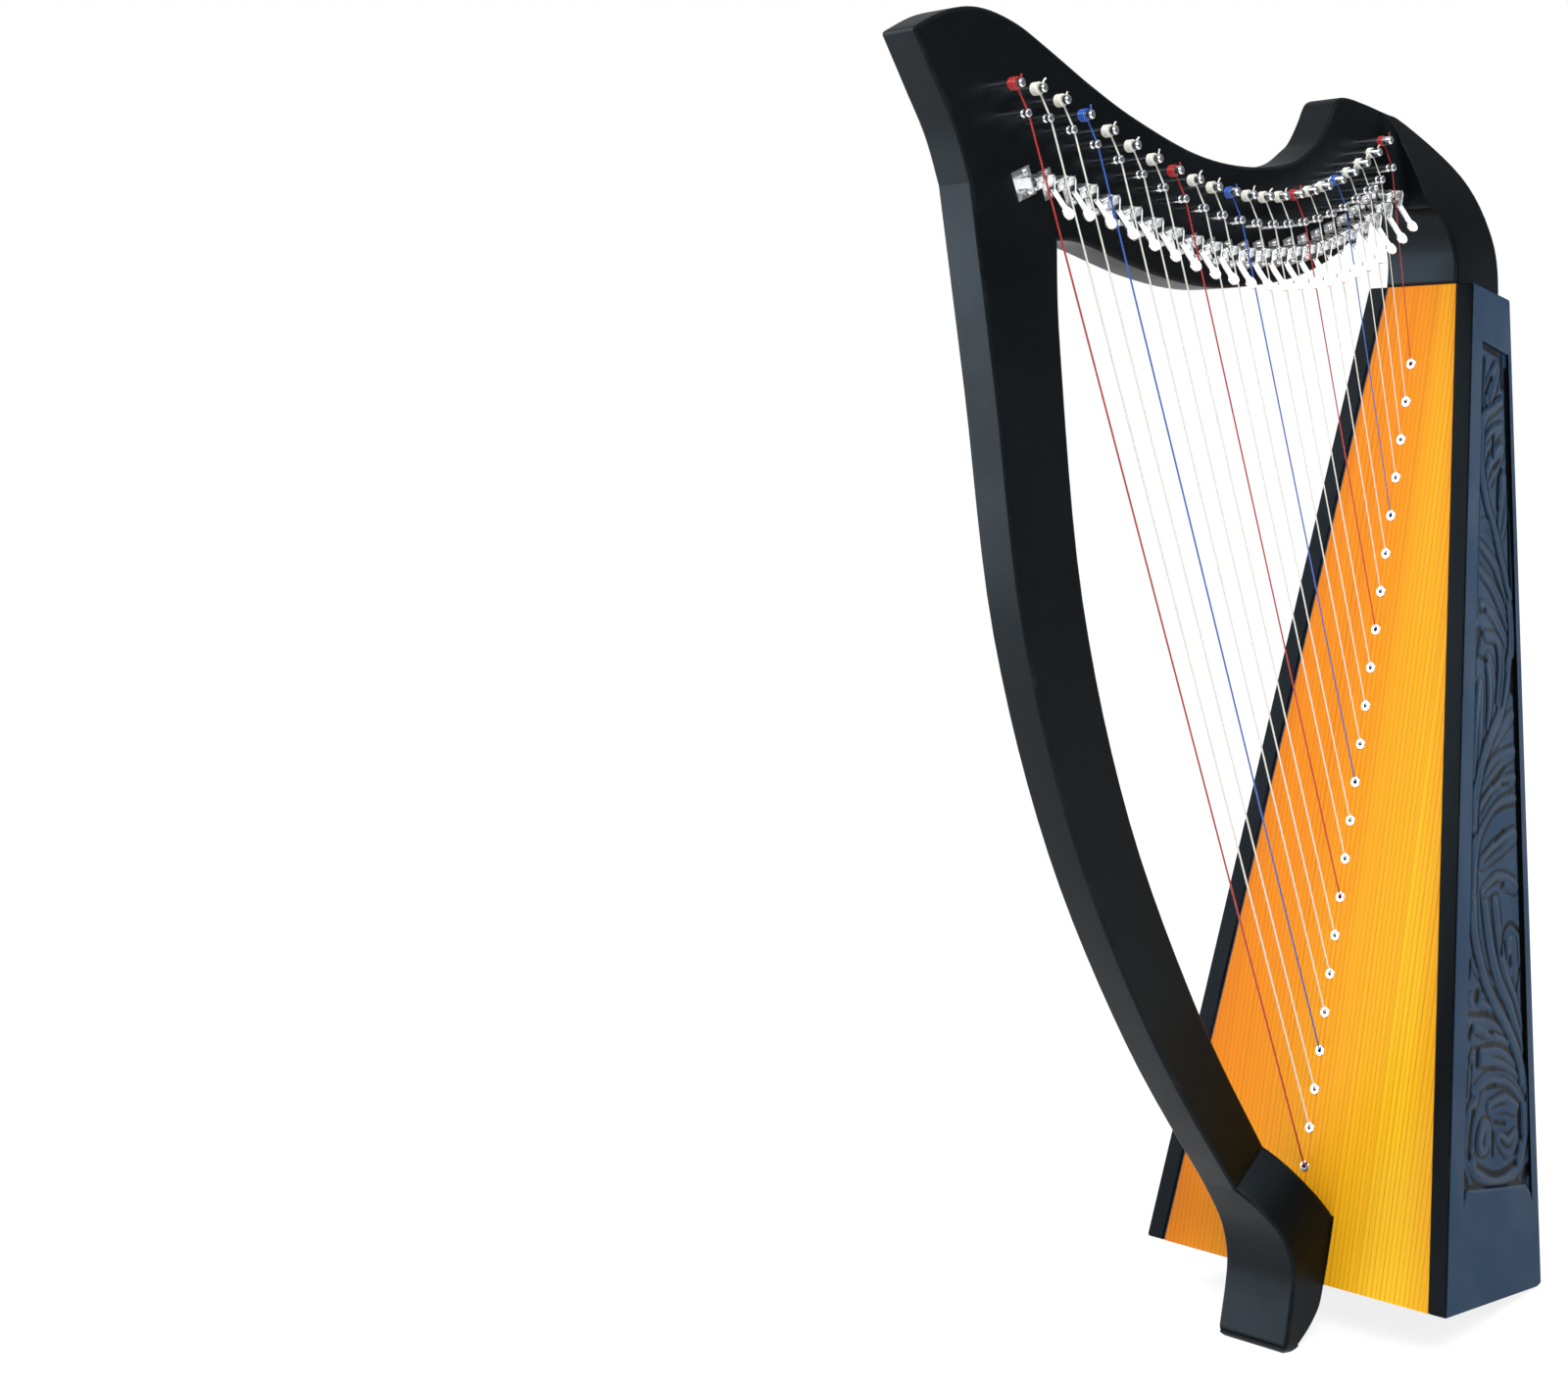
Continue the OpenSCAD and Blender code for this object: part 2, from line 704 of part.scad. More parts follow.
// A string: knot behind the rib, eyelet, bridge pin, then turns on the tuning pin
knot_r = 2.2;
knot_x = board_back + rib_t + 0.2;
function knot_points(i) = [for (x = [3.6, 2.6, 1, 0]) [knot_x + x, 0, eyelet(i)[1]]];
function knot_radii(i) = [string_r(i), knot_r, knot_r, string_r(i)];
function at_neck(p, y) = [p[0], y, p[1]];
function wind_point(i, k) =
    let (turn = lean_of(i) + 360 * k / wind_steps)
    at_neck(tuning(i) + wind_r(i) * [cos(turn), sin(turn)], wind_start - wind_pitch(i) * k / wind_steps);
function wind_points(i) = [for (k = [0 : wind_turns * wind_steps]) wind_point(i, k)];
function string_points(i) = concat(
    knot_points(i), [at_neck(eyelet(i) + [0.6, 0], 0), at_neck(eyelet(i) - 1.2 * down(i), -0.1)],
    [at_neck(nut(i), -string_out)], wind_points(i)
);
function string_radii(i) = concat(knot_radii(i), [for (k = [0 : wind_turns * wind_steps + 3]) string_r(i)]);

// Least gap between one turn and another, or between the turns and the lead-in
function lead_in(i) = [for (t = [0 : 0.1 : 0.9]) mix(at_neck(nut(i), -string_out), wind_point(i, 0), t)];
function least_gap(i) =
    let (w = wind_points(i), half = wind_steps / 2)
    min(concat(
        [for (a = [0 : len(w) - 1], b = [a + half : 1 : len(w) - 1]) norm(w[a] - w[b])],
        [for (p = lead_in(i), b = [half : 1 : len(w) - 1]) norm(p - w[b])]
    )) - 2 * string_r(i);
echo(least_gap_in_the_windings = min([for (i = [0 : last]) least_gap(i)]));

function string_color(i) = i % 7 == 0 ? "#b3202c" : i % 7 == 3 ? "#2456c4" : "#e9e4d2";

module strings() {
    for (i = [0 : last]) color(string_color(i)) tube(string_points(i), string_radii(i));
}

stand() soundboard();
stand() string_rib();
stand() left_side_panel();
stand() right_side_panel();
stand() back_panel();
stand() base_panel();
stand() top_block();
stand() neck();
stand() pillar();
stand() foot();
stand() joint_dowels();
stand() grommets();
stand() bridge_pins();
stand() lever_brackets();
stand() strings();
for (i = [0 : last]) stand() tuning_pin(i);
for (i = [0 : last]) stand() lever(i);
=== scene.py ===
import bmesh
import bpy
import json
import math
import numpy as np
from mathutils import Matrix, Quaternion, Vector
from mathutils.bvhtree import BVHTree


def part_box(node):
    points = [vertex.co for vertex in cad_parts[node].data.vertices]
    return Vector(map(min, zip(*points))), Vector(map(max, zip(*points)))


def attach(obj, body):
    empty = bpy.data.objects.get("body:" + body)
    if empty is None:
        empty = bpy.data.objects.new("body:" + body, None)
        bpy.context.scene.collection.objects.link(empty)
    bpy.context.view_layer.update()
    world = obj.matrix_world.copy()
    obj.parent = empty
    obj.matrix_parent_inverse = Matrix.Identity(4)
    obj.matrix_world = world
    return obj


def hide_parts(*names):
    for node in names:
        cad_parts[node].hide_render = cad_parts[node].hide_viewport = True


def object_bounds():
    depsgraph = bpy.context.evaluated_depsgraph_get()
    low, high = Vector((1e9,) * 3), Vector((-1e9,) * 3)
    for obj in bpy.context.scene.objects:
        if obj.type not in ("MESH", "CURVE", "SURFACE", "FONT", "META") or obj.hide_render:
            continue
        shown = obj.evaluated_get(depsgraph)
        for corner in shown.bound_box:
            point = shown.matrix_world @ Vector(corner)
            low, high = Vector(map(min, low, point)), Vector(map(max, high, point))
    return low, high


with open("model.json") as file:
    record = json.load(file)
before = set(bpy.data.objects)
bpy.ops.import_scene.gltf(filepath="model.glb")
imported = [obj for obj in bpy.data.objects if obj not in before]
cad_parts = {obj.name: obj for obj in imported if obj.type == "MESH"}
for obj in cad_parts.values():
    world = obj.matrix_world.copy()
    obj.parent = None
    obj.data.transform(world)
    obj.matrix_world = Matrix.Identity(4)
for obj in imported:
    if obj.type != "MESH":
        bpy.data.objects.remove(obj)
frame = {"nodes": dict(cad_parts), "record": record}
nodes = frame["nodes"]
joints = {j["child"]: j for j in frame["record"]["behaviour"]["joints"]}
cadLow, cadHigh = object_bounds()
scene = bpy.context.scene
scene.view_settings.view_transform = "Standard"
mm = 0.001
print("frame loaded,", len(nodes), "nodes")

# camera, where the picture of the lever side was taken from
cameraSet = {
    "place": (-1.3407, -1.1788, 0.6812),
    "aim": (-0.3757, 0.0, 0.4696),
    "roll": -4.0,
    "focalPixels": 2905,
    "imageWidth": 1600,
    "sensor": 36,
}


def makeCamera(s):
    data = bpy.data.cameras.new("photoCamera")
    data.sensor_width = s["sensor"]
    data.lens = s["sensor"] * s["focalPixels"] / s["imageWidth"]
    cam = bpy.data.objects.new("photoCamera", data)
    scene.collection.objects.link(cam)
    look = Vector(s["aim"]) - Vector(s["place"])
    cam.location = s["place"]
    cam.rotation_mode = "QUATERNION"
    level = look.to_track_quat("-Z", "Y")
    cam.rotation_quaternion = level @ Quaternion((0, 0, 1), math.radians(s["roll"]))
    scene.camera = cam


makeCamera(cameraSet)


# small helpers for shader nodes
def addNode(tree, kind, inputs=None, **props):
    node = tree.nodes.new(kind)
    for key, value in props.items():
        setattr(node, key, value)
    for key, value in (inputs or {}).items():
        if isinstance(value, bpy.types.NodeSocket):
            tree.links.new(value, node.inputs[key])
        else:
            node.inputs[key].default_value = value
    return node


def mathNode(tree, operation, a, b=0.0, clamp=False):
    return addNode(tree, "ShaderNodeMath", {0: a, 1: b}, operation=operation, use_clamp=clamp).outputs[0]


def mixColor(tree, factor, a, b):
    return addNode(tree, "ShaderNodeMix", {0: factor, 6: a, 7: b}, data_type="RGBA").outputs[2]


def spread(tree, value, fromLow, fromHigh, toLow=0.0, toHigh=1.0):
    node = addNode(tree, "ShaderNodeMapRange", {0: value, 1: fromLow, 2: fromHigh, 3: toLow, 4: toHigh},
                   interpolation_type="SMOOTHSTEP")
    return node.outputs[0]


def noiseNode(tree, vector, scale=1.0, detail=2.0, rough=0.5):
    inputs = {"Vector": vector, "Scale": scale, "Detail": detail, "Roughness": rough}
    return addNode(tree, "ShaderNodeTexNoise", inputs).outputs[0]


def stretched(tree, vector, by):
    return addNode(tree, "ShaderNodeVectorMath", {0: vector, 1: by}, operation="MULTIPLY").outputs[0]


# studio: pale floor, a room brighter on the left, a high key box, low boxes that give the paint its sheen,
# and two boxes for the bright metal to mirror
plainWhite = (1.0, 1.0, 1.0)
studio = {
    "roomDark": 0.16,
    "roomBright": 0.85,
    "roomSide": (-0.60, 0.60, 0.53),
    "roomReach": (-0.6, 0.9),
    "roomColor": (0.94, 0.97, 1.0, 1),
    "floorSize": 40,
    "floorColor": (0.5, 0.5, 0.5, 1),
    "floorGlow": 0.84,
    "floorShadow": 0.6,
    "glowFrom": (-1.0, 0.3),
    "glowNear": (1.0, 3.5),
    "boxes": {
        "keyBox": {"place": (-1.6, -2.0, 2.4), "size": (1.4, 1.2), "power": 72, "color": (1.0, 0.99, 0.97)},
        "leftBox": {"place": (-1.8, 1.4, 2.4), "size": (1.0, 1.0), "power": 18, "color": plainWhite},
        "backBox": {"place": (2.3, -0.35, 0.3), "size": (1.1, 0.9), "power": 8, "color": (0.72, 0.86, 1.0)},
        "glintBox": {"place": (0.5, -2.3, 2.1), "size": (1.1, 0.8), "power": 7, "color": plainWhite},
        "paddleBox": {"place": (1.64, -1.36, 2.13), "size": (1.1, 0.9), "power": 5.5, "color": plainWhite},
        "sheenBox": {"place": (-1.65, 1.7, 1.0), "size": (1.6, 2.2), "power": 70,
                     "color": (0.86, 0.93, 1.0), "onlySheen": True},
    },
}


def whiteForCamera(tree):
    path = addNode(tree, "ShaderNodeLightPath")
    seen = mathNode(tree, "ADD", path.outputs["Is Camera Ray"], path.outputs["Is Transmission Ray"], True)
    return seen, path.outputs["Is Glossy Ray"]


def makeWorld(s):
    world = bpy.data.worlds.new("studioWorld")
    world.use_nodes = True
    scene.world = world
    tree = world.node_tree
    tree.nodes.clear()
    ray = addNode(tree, "ShaderNodeTexCoord").outputs["Generated"]
    facing = {0: ray, 1: s["roomSide"]}
    side = addNode(tree, "ShaderNodeVectorMath", facing, operation="DOT_PRODUCT").outputs["Value"]
    strength = spread(tree, side, *s["roomReach"], s["roomDark"], s["roomBright"])
    soft = addNode(tree, "ShaderNodeBackground", {"Color": s["roomColor"], "Strength": strength})
    white = addNode(tree, "ShaderNodeBackground", {"Color": (1, 1, 1, 1), "Strength": 1.0})
    both = addNode(tree, "ShaderNodeMixShader",
                   {0: whiteForCamera(tree)[0], 1: soft.outputs[0], 2: white.outputs[0]})
    addNode(tree, "ShaderNodeOutputWorld", {"Surface": both.outputs[0]})


def makeFloor(s):
    half = s["floorSize"]
    corners = [(-half, -half, 0), (half, -half, 0), (half, half, 0), (-half, half, 0)]
    mesh = bpy.data.meshes.new("studioFloor")
    mesh.from_pydata(corners, [], [(0, 1, 2, 3)])
    floor = bpy.data.objects.new("studioFloor", mesh)
    scene.collection.objects.link(floor)
    mat = bpy.data.materials.new("floorPaper")
    mat.use_nodes = True
    tree = mat.node_tree
    tree.nodes.clear()
    white, mirrored = whiteForCamera(tree)
    spot = addNode(tree, "ShaderNodeNewGeometry").outputs["Position"]
    place = addNode(tree, "ShaderNodeSeparateXYZ", {0: spot})
    leftHalf = spread(tree, place.outputs["Y"], *s["glowFrom"])
    far = addNode(tree, "ShaderNodeVectorMath", {0: spot}, operation="LENGTH").outputs["Value"]
    bright = mathNode(tree, "MAXIMUM", leftHalf, spread(tree, far, *s["glowNear"], 1.0, 0.0))
    shown = mathNode(tree, "ADD", white, mathNode(tree, "MULTIPLY", mirrored, bright), True)
    paper = addNode(tree, "ShaderNodeBsdfDiffuse", {"Color": s["floorColor"]})
    black = addNode(tree, "ShaderNodeBsdfDiffuse", {"Color": (0, 0, 0, 1)})
    dim = mathNode(tree, "SUBTRACT", 1.0, mathNode(tree, "MULTIPLY", white, 1 - s["floorShadow"]))
    paperPart = addNode(tree, "ShaderNodeMixShader", {0: dim, 1: black.outputs[0], 2: paper.outputs[0]})
    strength = mathNode(tree, "MULTIPLY", shown, s["floorGlow"])
    glow = addNode(tree, "ShaderNodeEmission", {"Color": (1, 1, 1, 1), "Strength": strength})
    both = addNode(tree, "ShaderNodeAddShader", {0: paperPart.outputs[0], 1: glow.outputs[0]})
    addNode(tree, "ShaderNodeOutputMaterial", {"Surface": both.outputs[0]})
    mesh.materials.append(mat)


def makeLights(s):
    middle = (cadLow + cadHigh) / 2
    for name, b in s["boxes"].items():
        data = bpy.data.lights.new(name, "AREA")
        data.shape = "RECTANGLE"
        data.size, data.size_y = b["size"]
        data.energy = b["power"]
        data.color = b["color"]
        lamp = bpy.data.objects.new(name, data)
        scene.collection.objects.link(lamp)
        lamp.location = b["place"]
        lamp.rotation_mode = "QUATERNION"
        lamp.rotation_quaternion = (middle - Vector(b["place"])).to_track_quat("-Z", "Y")
        lamp.visible_diffuse = not b.get("onlySheen", False)


makeWorld(studio)
makeFloor(studio)
makeLights(studio)
print("studio ready")


# effects that several finishes share
def newGroup(name, inputs, outputs):
    group = bpy.data.node_groups.new(name, "ShaderNodeTree")
    for key, (kind, value) in inputs.items():
        socket = group.interface.new_socket(key, in_out="INPUT", socket_type=kind)
        socket.default_value = value
    for key in outputs:
        group.interface.new_socket(key, in_out="OUTPUT", socket_type="NodeSocketFloat")
    given = group.nodes.new("NodeGroupInput").outputs
    result = group.nodes.new("NodeGroupOutput").inputs
    place = addNode(group, "ShaderNodeTexCoord").outputs["Object"]
    return group, given, result, place


grainSet = {
    "wide": (0.5, 0.62, 0.5),
    "tone": (1.0, 0.04, 1.0),
    "straight": (0.02, 1.0, 0.02),
    "lineEnd": 0.75,
    "wander": 2.4,
    "year": (0.72, 0.98),
    "broken": (0.3, 0.6, 0.35, 1.0),
}


def makeWoodGrain(s):
    inputs = {"Stretch": ("NodeSocketVector", (20, 400, 20)), "Line": ("NodeSocketFloat", 0.6),
              "Rings": ("NodeSocketFloat", 85.0)}
    group, given, result, place = newGroup("woodGrain", inputs, ["Fibre", "Lines", "Tone", "Year"])
    along = stretched(group, place, given["Stretch"])
    fibre = noiseNode(group, along, detail=6.0, rough=0.6)
    wide = noiseNode(group, stretched(group, along, s["wide"]), detail=1.0, rough=0.4)
    lines = spread(group, wide, given["Line"], s["lineEnd"])
    tone = noiseNode(group, stretched(group, along, s["tone"]))
    waves = {"Vector": stretched(group, place, s["straight"]), "Scale": given["Rings"],
             "Distortion": s["wander"], "Detail": 2.0, "Detail Scale": 0.6}
    year = addNode(group, "ShaderNodeTexWave", waves, bands_direction="Y").outputs["Fac"]
    broken = spread(group, fibre, *s["broken"])
    year = mathNode(group, "MULTIPLY", spread(group, year, *s["year"]), broken)
    group.links.new(year, result["Year"])
    group.links.new(fibre, result["Fibre"])
    group.links.new(lines, result["Lines"])
    group.links.new(tone, result["Tone"])
    return group


skinSet = {"specks": 1600.0, "dust": (0.66, 0.78), "wornEnd": 0.75, "tarnish": (0.5, 0.72)}


def makeLacquerSkin(s):
    inputs = {"Fine": ("NodeSocketFloat", 900.0), "Broad": ("NodeSocketFloat", 9.0)}
    group, given, result, place = newGroup("lacquerSkin", inputs, ["Peel", "Cloud", "Dust"])
    peel = noiseNode(group, place, given["Fine"], rough=0.6)
    cloud = noiseNode(group, place, given["Broad"], detail=3.0, rough=0.55)
    specks = noiseNode(group, place, s["specks"], detail=0.0)
    group.links.new(peel, result["Peel"])
    group.links.new(cloud, result["Cloud"])
    group.links.new(spread(group, specks, *s["dust"]), result["Dust"])
    return group


def makeRubbedEdge(s):
    inputs = {"Patches": ("NodeSocketFloat", 60.0), "Cover": ("NodeSocketFloat", 0.5)}
    group, given, result, place = newGroup("rubbedEdge", inputs, ["Mask"])
    edge = addNode(group, "ShaderNodeAttribute", attribute_name="eased").outputs["Fac"]
    patch = noiseNode(group, place, given["Patches"], detail=4.0, rough=0.65)
    worn = spread(group, patch, given["Cover"], s["wornEnd"])
    group.links.new(mathNode(group, "MULTIPLY", worn, edge, True), result["Mask"])
    return group


def makeMetalSkin(s):
    inputs = {"Brush": ("NodeSocketVector", (4000, 300, 4000)), "Patches": ("NodeSocketFloat", 250.0)}
    group, given, result, place = newGroup("metalSkin", inputs, ["Brushed", "Tarnish"])
    brushed = noiseNode(group, stretched(group, place, given["Brush"]), detail=3.0, rough=0.6)
    patch = noiseNode(group, place, given["Patches"], detail=3.0, rough=0.6)
    group.links.new(brushed, result["Brushed"])
    group.links.new(spread(group, patch, *s["tarnish"]), result["Tarnish"])
    return group


woodGrain = makeWoodGrain(grainSet)
lacquerSkin = makeLacquerSkin(skinSet)
rubbedEdge = makeRubbedEdge(skinSet)
metalSkin = makeMetalSkin(skinSet)
noiseReach = (0.3, 0.7)  # most of a noise's values lie between these


def useGroup(tree, group, **values):
    node = tree.nodes.new("ShaderNodeGroup")
    node.node_tree = group
    for key, value in values.items():
        node.inputs[key].default_value = value
    return node.outputs


def newFinish(name, rough, spec, metal=0.0):
    mat = bpy.data.materials.new(name)
    mat.use_nodes = True
    tree = mat.node_tree
    shader = tree.nodes["Principled BSDF"]
    shader.inputs["Roughness"].default_value = rough
    shader.inputs["Specular IOR Level"].default_value = spec
    shader.inputs["Metallic"].default_value = metal
    return mat, tree, shader


def plug(tree, shader, color, rough, height=None, depth=0.0, strength=0.0):
    tree.links.new(color, shader.inputs["Base Color"])
    tree.links.new(rough, shader.inputs["Roughness"])
    if height is not None:
        bump = addNode(tree, "ShaderNodeBump", {"Height": height, "Distance": depth, "Strength": strength})
        tree.links.new(bump.outputs[0], shader.inputs["Normal"])


# amber soundboard: straight grain up the board, redder towards its edges and the top, and deeper on its +Y
# half as painted shade
spruceSet = {
    "pale": (0.97, 0.62, 0.020, 1),
    "deep": (0.91, 0.27, 0.006, 1),
    "line": (0.50, 0.13, 0.006, 1),
    "edge": (0.66, 0.16, 0.008, 1),
    "toneAndShadeReach": (-0.9, 1.3),
    "toneNoise": 0.3,
    "grain": (1.2, 420, 1.2),
    "lineFrom": 0.56,
    "fibre": (0.35, 0.75, 0.0, 0.3),
    "lineMix": 0.3,
    "yearMix": 0.5,
    "burst": (0.72, 1.04, 0.0, 0.4),
    "rough": (0.26, 0.36),
    "bump": (0.00006, 0.35),
    "topBand": 10 * mm,
}


def makeSpruce(s):
    mat, tree, shader = newFinish("amberSpruce", rough=0.3, spec=0.03)
    grain = useGroup(tree, woodGrain, Stretch=s["grain"], Line=s["lineFrom"])
    low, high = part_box("soundboard")
    points = [v.co for v in nodes["soundboard"].data.vertices]
    topHalf = max(abs(p.y) for p in points if p.z > high.z - s["topBand"])
    taper = (high.y - topHalf) / (high.z - low.z)
    spot = addNode(tree, "ShaderNodeTexCoord").outputs["Object"]
    split = addNode(tree, "ShaderNodeSeparateXYZ", {0: spot})
    drawnIn = mathNode(tree, "MULTIPLY", split.outputs["Z"], taper)
    half = mathNode(tree, "SUBTRACT", high.y + taper * low.z, drawnIn)
    side = mathNode(tree, "DIVIDE", split.outputs["Y"], half)
    # the +Y half of the board is painted deeper, as painted shade; the top is deeper too, and the tone noise
    # is the wood's own
    upShare = mathNode(tree, "DIVIDE", split.outputs["Z"], high.z)
    across = mathNode(tree, "ADD", side, upShare)
    across = mathNode(tree, "ADD", across, mathNode(tree, "MULTIPLY", grain["Tone"], s["toneNoise"]))
    color = mixColor(tree, spread(tree, across, *s["toneAndShadeReach"]), s["pale"], s["deep"])
    fibre = spread(tree, grain["Fibre"], *s["fibre"])
    color = mixColor(tree, fibre, color, s["deep"])
    color = mixColor(tree, mathNode(tree, "MULTIPLY", grain["Lines"], s["lineMix"]), color, s["line"])
    color = mixColor(tree, mathNode(tree, "MULTIPLY", grain["Year"], s["yearMix"]), color, s["line"])
    burst = spread(tree, mathNode(tree, "ABSOLUTE", side), *s["burst"])
    color = mixColor(tree, burst, color, s["edge"])
    skin = useGroup(tree, lacquerSkin, Fine=700.0, Broad=6.0)
    rough = spread(tree, skin["Cloud"], *noiseReach, *s["rough"])
    plug(tree, shader, color, rough, grain["Fibre"], *s["bump"])
    return mat


# black lacquered wood, satin, worn paler along its rounded edges
blackSet = {
    "paint": (0.0016, 0.0021, 0.0023, 1),
    "cloud": (0.0032, 0.0038, 0.0042, 1),
    "worn": (0.034, 0.034, 0.034, 1),
    "wear": 0.25,
    "patches": 45.0,
    "cover": 0.46,
    "dust": (0.03, 0.033, 0.036, 1),
    "dustMix": 0.25,
    "grain": (320, 320, 22),
    "fibreBump": 0.8,
    "bump": (0.00005, 0.4),
    "rough": (0.33, 0.46),
    "spec": 0.13,
    "edgeSpec": 0.045,
    "tint": (0.64, 0.83, 1.0, 1),
}


def makeBlack(name, spec, s):
    mat, tree, shader = newFinish(name, rough=0.4, spec=spec)
    shader.inputs["Specular Tint"].default_value = s["tint"]
    skin = useGroup(tree, lacquerSkin, Fine=650.0, Broad=11.0)
    grain = useGroup(tree, woodGrain, Stretch=s["grain"])
    color = mixColor(tree, skin["Cloud"], s["paint"], s["cloud"])
    color = mixColor(tree, mathNode(tree, "MULTIPLY", skin["Dust"], s["dustMix"]), color, s["dust"])
    worn = useGroup(tree, rubbedEdge, Patches=s["patches"], Cover=s["cover"])["Mask"]
    color = mixColor(tree, mathNode(tree, "MULTIPLY", worn, s["wear"]), color, s["worn"])
    rough = spread(tree, skin["Cloud"], *noiseReach, *s["rough"])
    fibre = mathNode(tree, "MULTIPLY", grain["Fibre"], s["fibreBump"])
    height = mathNode(tree, "ADD", skin["Peel"], fibre)
    plug(tree, shader, color, rough, height, *s["bump"])
    return mat


# blue-black carved sides: dull paint, rubbed grey with a painted highlight on the ridges, painted shade in
# the hollows
slateSet = {
    "paint": (0.013, 0.038, 0.084, 1),
    "cloud": (0.021, 0.056, 0.114, 1),
    "ridgeWearAndHighlight": (0.070, 0.085, 0.105, 1),
    "hollowShade": (0.004, 0.0045, 0.005, 1),
    "worn": (0.10, 0.09, 0.085, 1),
    "wear": 0.5,
    "patches": 70.0,
    "cover": 0.5,
    "ridgeWearAndHighlightReach": (0.18, 0.8),
    "ridgeWearAndHighlightPatch": (0.4, 0.6, 0.15, 0.8),
    "hollowShadeReach": (0.08, 0.5),
    "rough": (0.46, 0.6),
    "bump": (0.00009, 0.5),
}


def makeSlate(s):
    mat, tree, shader = newFinish("slatePaint", rough=0.5, spec=0.05)
    skin = useGroup(tree, lacquerSkin, Fine=1100.0, Broad=14.0)
    color = mixColor(tree, skin["Cloud"], s["paint"], s["cloud"])
    reliefShading = addNode(tree, "ShaderNodeAttribute", attribute_name="reliefShading").outputs["Fac"]
    # ridges of the relief turn lighter in patches: rubbed wear and a painted highlight
    patch = spread(tree, skin["Cloud"], *s["ridgeWearAndHighlightPatch"])
    ridgeWearAndHighlight = mathNode(tree, "MULTIPLY", spread(tree, reliefShading, *s["ridgeWearAndHighlightReach"]), patch)
    color = mixColor(tree, ridgeWearAndHighlight, color, s["ridgeWearAndHighlight"])
    # hollows of the relief turn near black: painted shade
    hollowShade = spread(tree, mathNode(tree, "MULTIPLY", reliefShading, -1.0), *s["hollowShadeReach"])
    color = mixColor(tree, hollowShade, color, s["hollowShade"])
    worn = useGroup(tree, rubbedEdge, Patches=s["patches"], Cover=s["cover"])["Mask"]
    color = mixColor(tree, mathNode(tree, "MULTIPLY", worn, s["wear"]), color, s["worn"])
    rough = spread(tree, skin["Cloud"], *noiseReach, *s["rough"])
    plug(tree, shader, color, rough, skin["Peel"], *s["bump"])
    return mat


# plain wood inside the box
innerSet = {
    "pale": (0.50, 0.33, 0.19, 1),
    "deep": (0.36, 0.21, 0.11, 1),
    "line": (0.24, 0.13, 0.06, 1),
    "grain": (60, 300, 8),
    "lineFrom": 0.58,
    "lineMix": 0.5,
    "rough": (0.5, 0.7),
    "bump": (0.0001, 0.4),
}


def makeInner(s):
    mat, tree, shader = newFinish("innerWood", rough=0.6, spec=0.3)
    grain = useGroup(tree, woodGrain, Stretch=s["grain"], Line=s["lineFrom"])
    color = mixColor(tree, grain["Fibre"], s["pale"], s["deep"])
    color = mixColor(tree, mathNode(tree, "MULTIPLY", grain["Lines"], s["lineMix"]), color, s["line"])
    rough = spread(tree, grain["Fibre"], *noiseReach, *s["rough"])
    plug(tree, shader, color, rough, grain["Fibre"], *s["bump"])
    return mat


# plated metal, with faint brushing and duller patches
metalSet = {
    "nickel": {"bright": (0.74, 0.75, 0.77, 1), "dull": (0.42, 0.42, 0.42, 1), "rough": (0.13, 0.27),
               "brush": (9000, 400, 9000)},
    "lever": {"bright": (0.86, 0.87, 0.88, 1), "dull": (0.58, 0.59, 0.60, 1), "rough": (0.12, 0.20),
              "brush": (500, 2500, 500)},
}
platedSet = {"patches": 320.0, "dullMix": 0.3, "bump": (0.000003, 0.1)}


def makeMetal(name, s):
    mat, tree, shader = newFinish(name, rough=0.2, spec=0.5, metal=1.0)
    skin = useGroup(tree, metalSkin, Brush=s["brush"], Patches=platedSet["patches"])
    dull = mathNode(tree, "MULTIPLY", skin["Tarnish"], platedSet["dullMix"])
    color = mixColor(tree, dull, s["bright"], s["dull"])
    rough = spread(tree, skin["Brushed"], *noiseReach, *s["rough"])
    plug(tree, shader, color, rough, skin["Brushed"], *platedSet["bump"])
    return mat


# nylon strings: most of them clear, the C strings red and the F strings blue
nylonSet = {
    "clear": {"pale": (0.96, 0.95, 0.88, 1), "deep": (0.82, 0.80, 0.70, 1)},
    "red": {"pale": (0.60, 0.020, 0.022, 1), "deep": (0.33, 0.008, 0.010, 1)},
    "blue": {"pale": (0.030, 0.16, 0.66, 1), "deep": (0.012, 0.06, 0.34, 1)},
}
drawnSet = {"coat": 0.3, "brush": (260, 260, 900), "patches": 120.0, "rough": (0.16, 0.3)}


def makeNylon(name, s):
    mat, tree, shader = newFinish(name + "Nylon", rough=0.22, spec=0.5)
    shader.inputs["Coat Weight"].default_value = drawnSet["coat"]
    skin = useGroup(tree, metalSkin, Brush=drawnSet["brush"], Patches=drawnSet["patches"])
    color = mixColor(tree, skin["Brushed"], s["pale"], s["deep"])
    rough = spread(tree, skin["Brushed"], *noiseReach, *drawnSet["rough"])
    plug(tree, shader, color, rough)
    return mat


finishes = {
    "spruce": makeSpruce(spruceSet),
    "black": makeBlack("blackSatin", blackSet["spec"], blackSet),
    "edge": makeBlack("blackEdge", blackSet["edgeSpec"], blackSet),
    "slate": makeSlate(slateSet),
    "inner": makeInner(innerSet),
    "nickel": makeMetal("nickelPlate", metalSet["nickel"]),
    "lever": makeMetal("leverMetal", metalSet["lever"]),
}
for name, s in nylonSet.items():
    finishes[name] = makeNylon(name, s)
print("finishes ready")

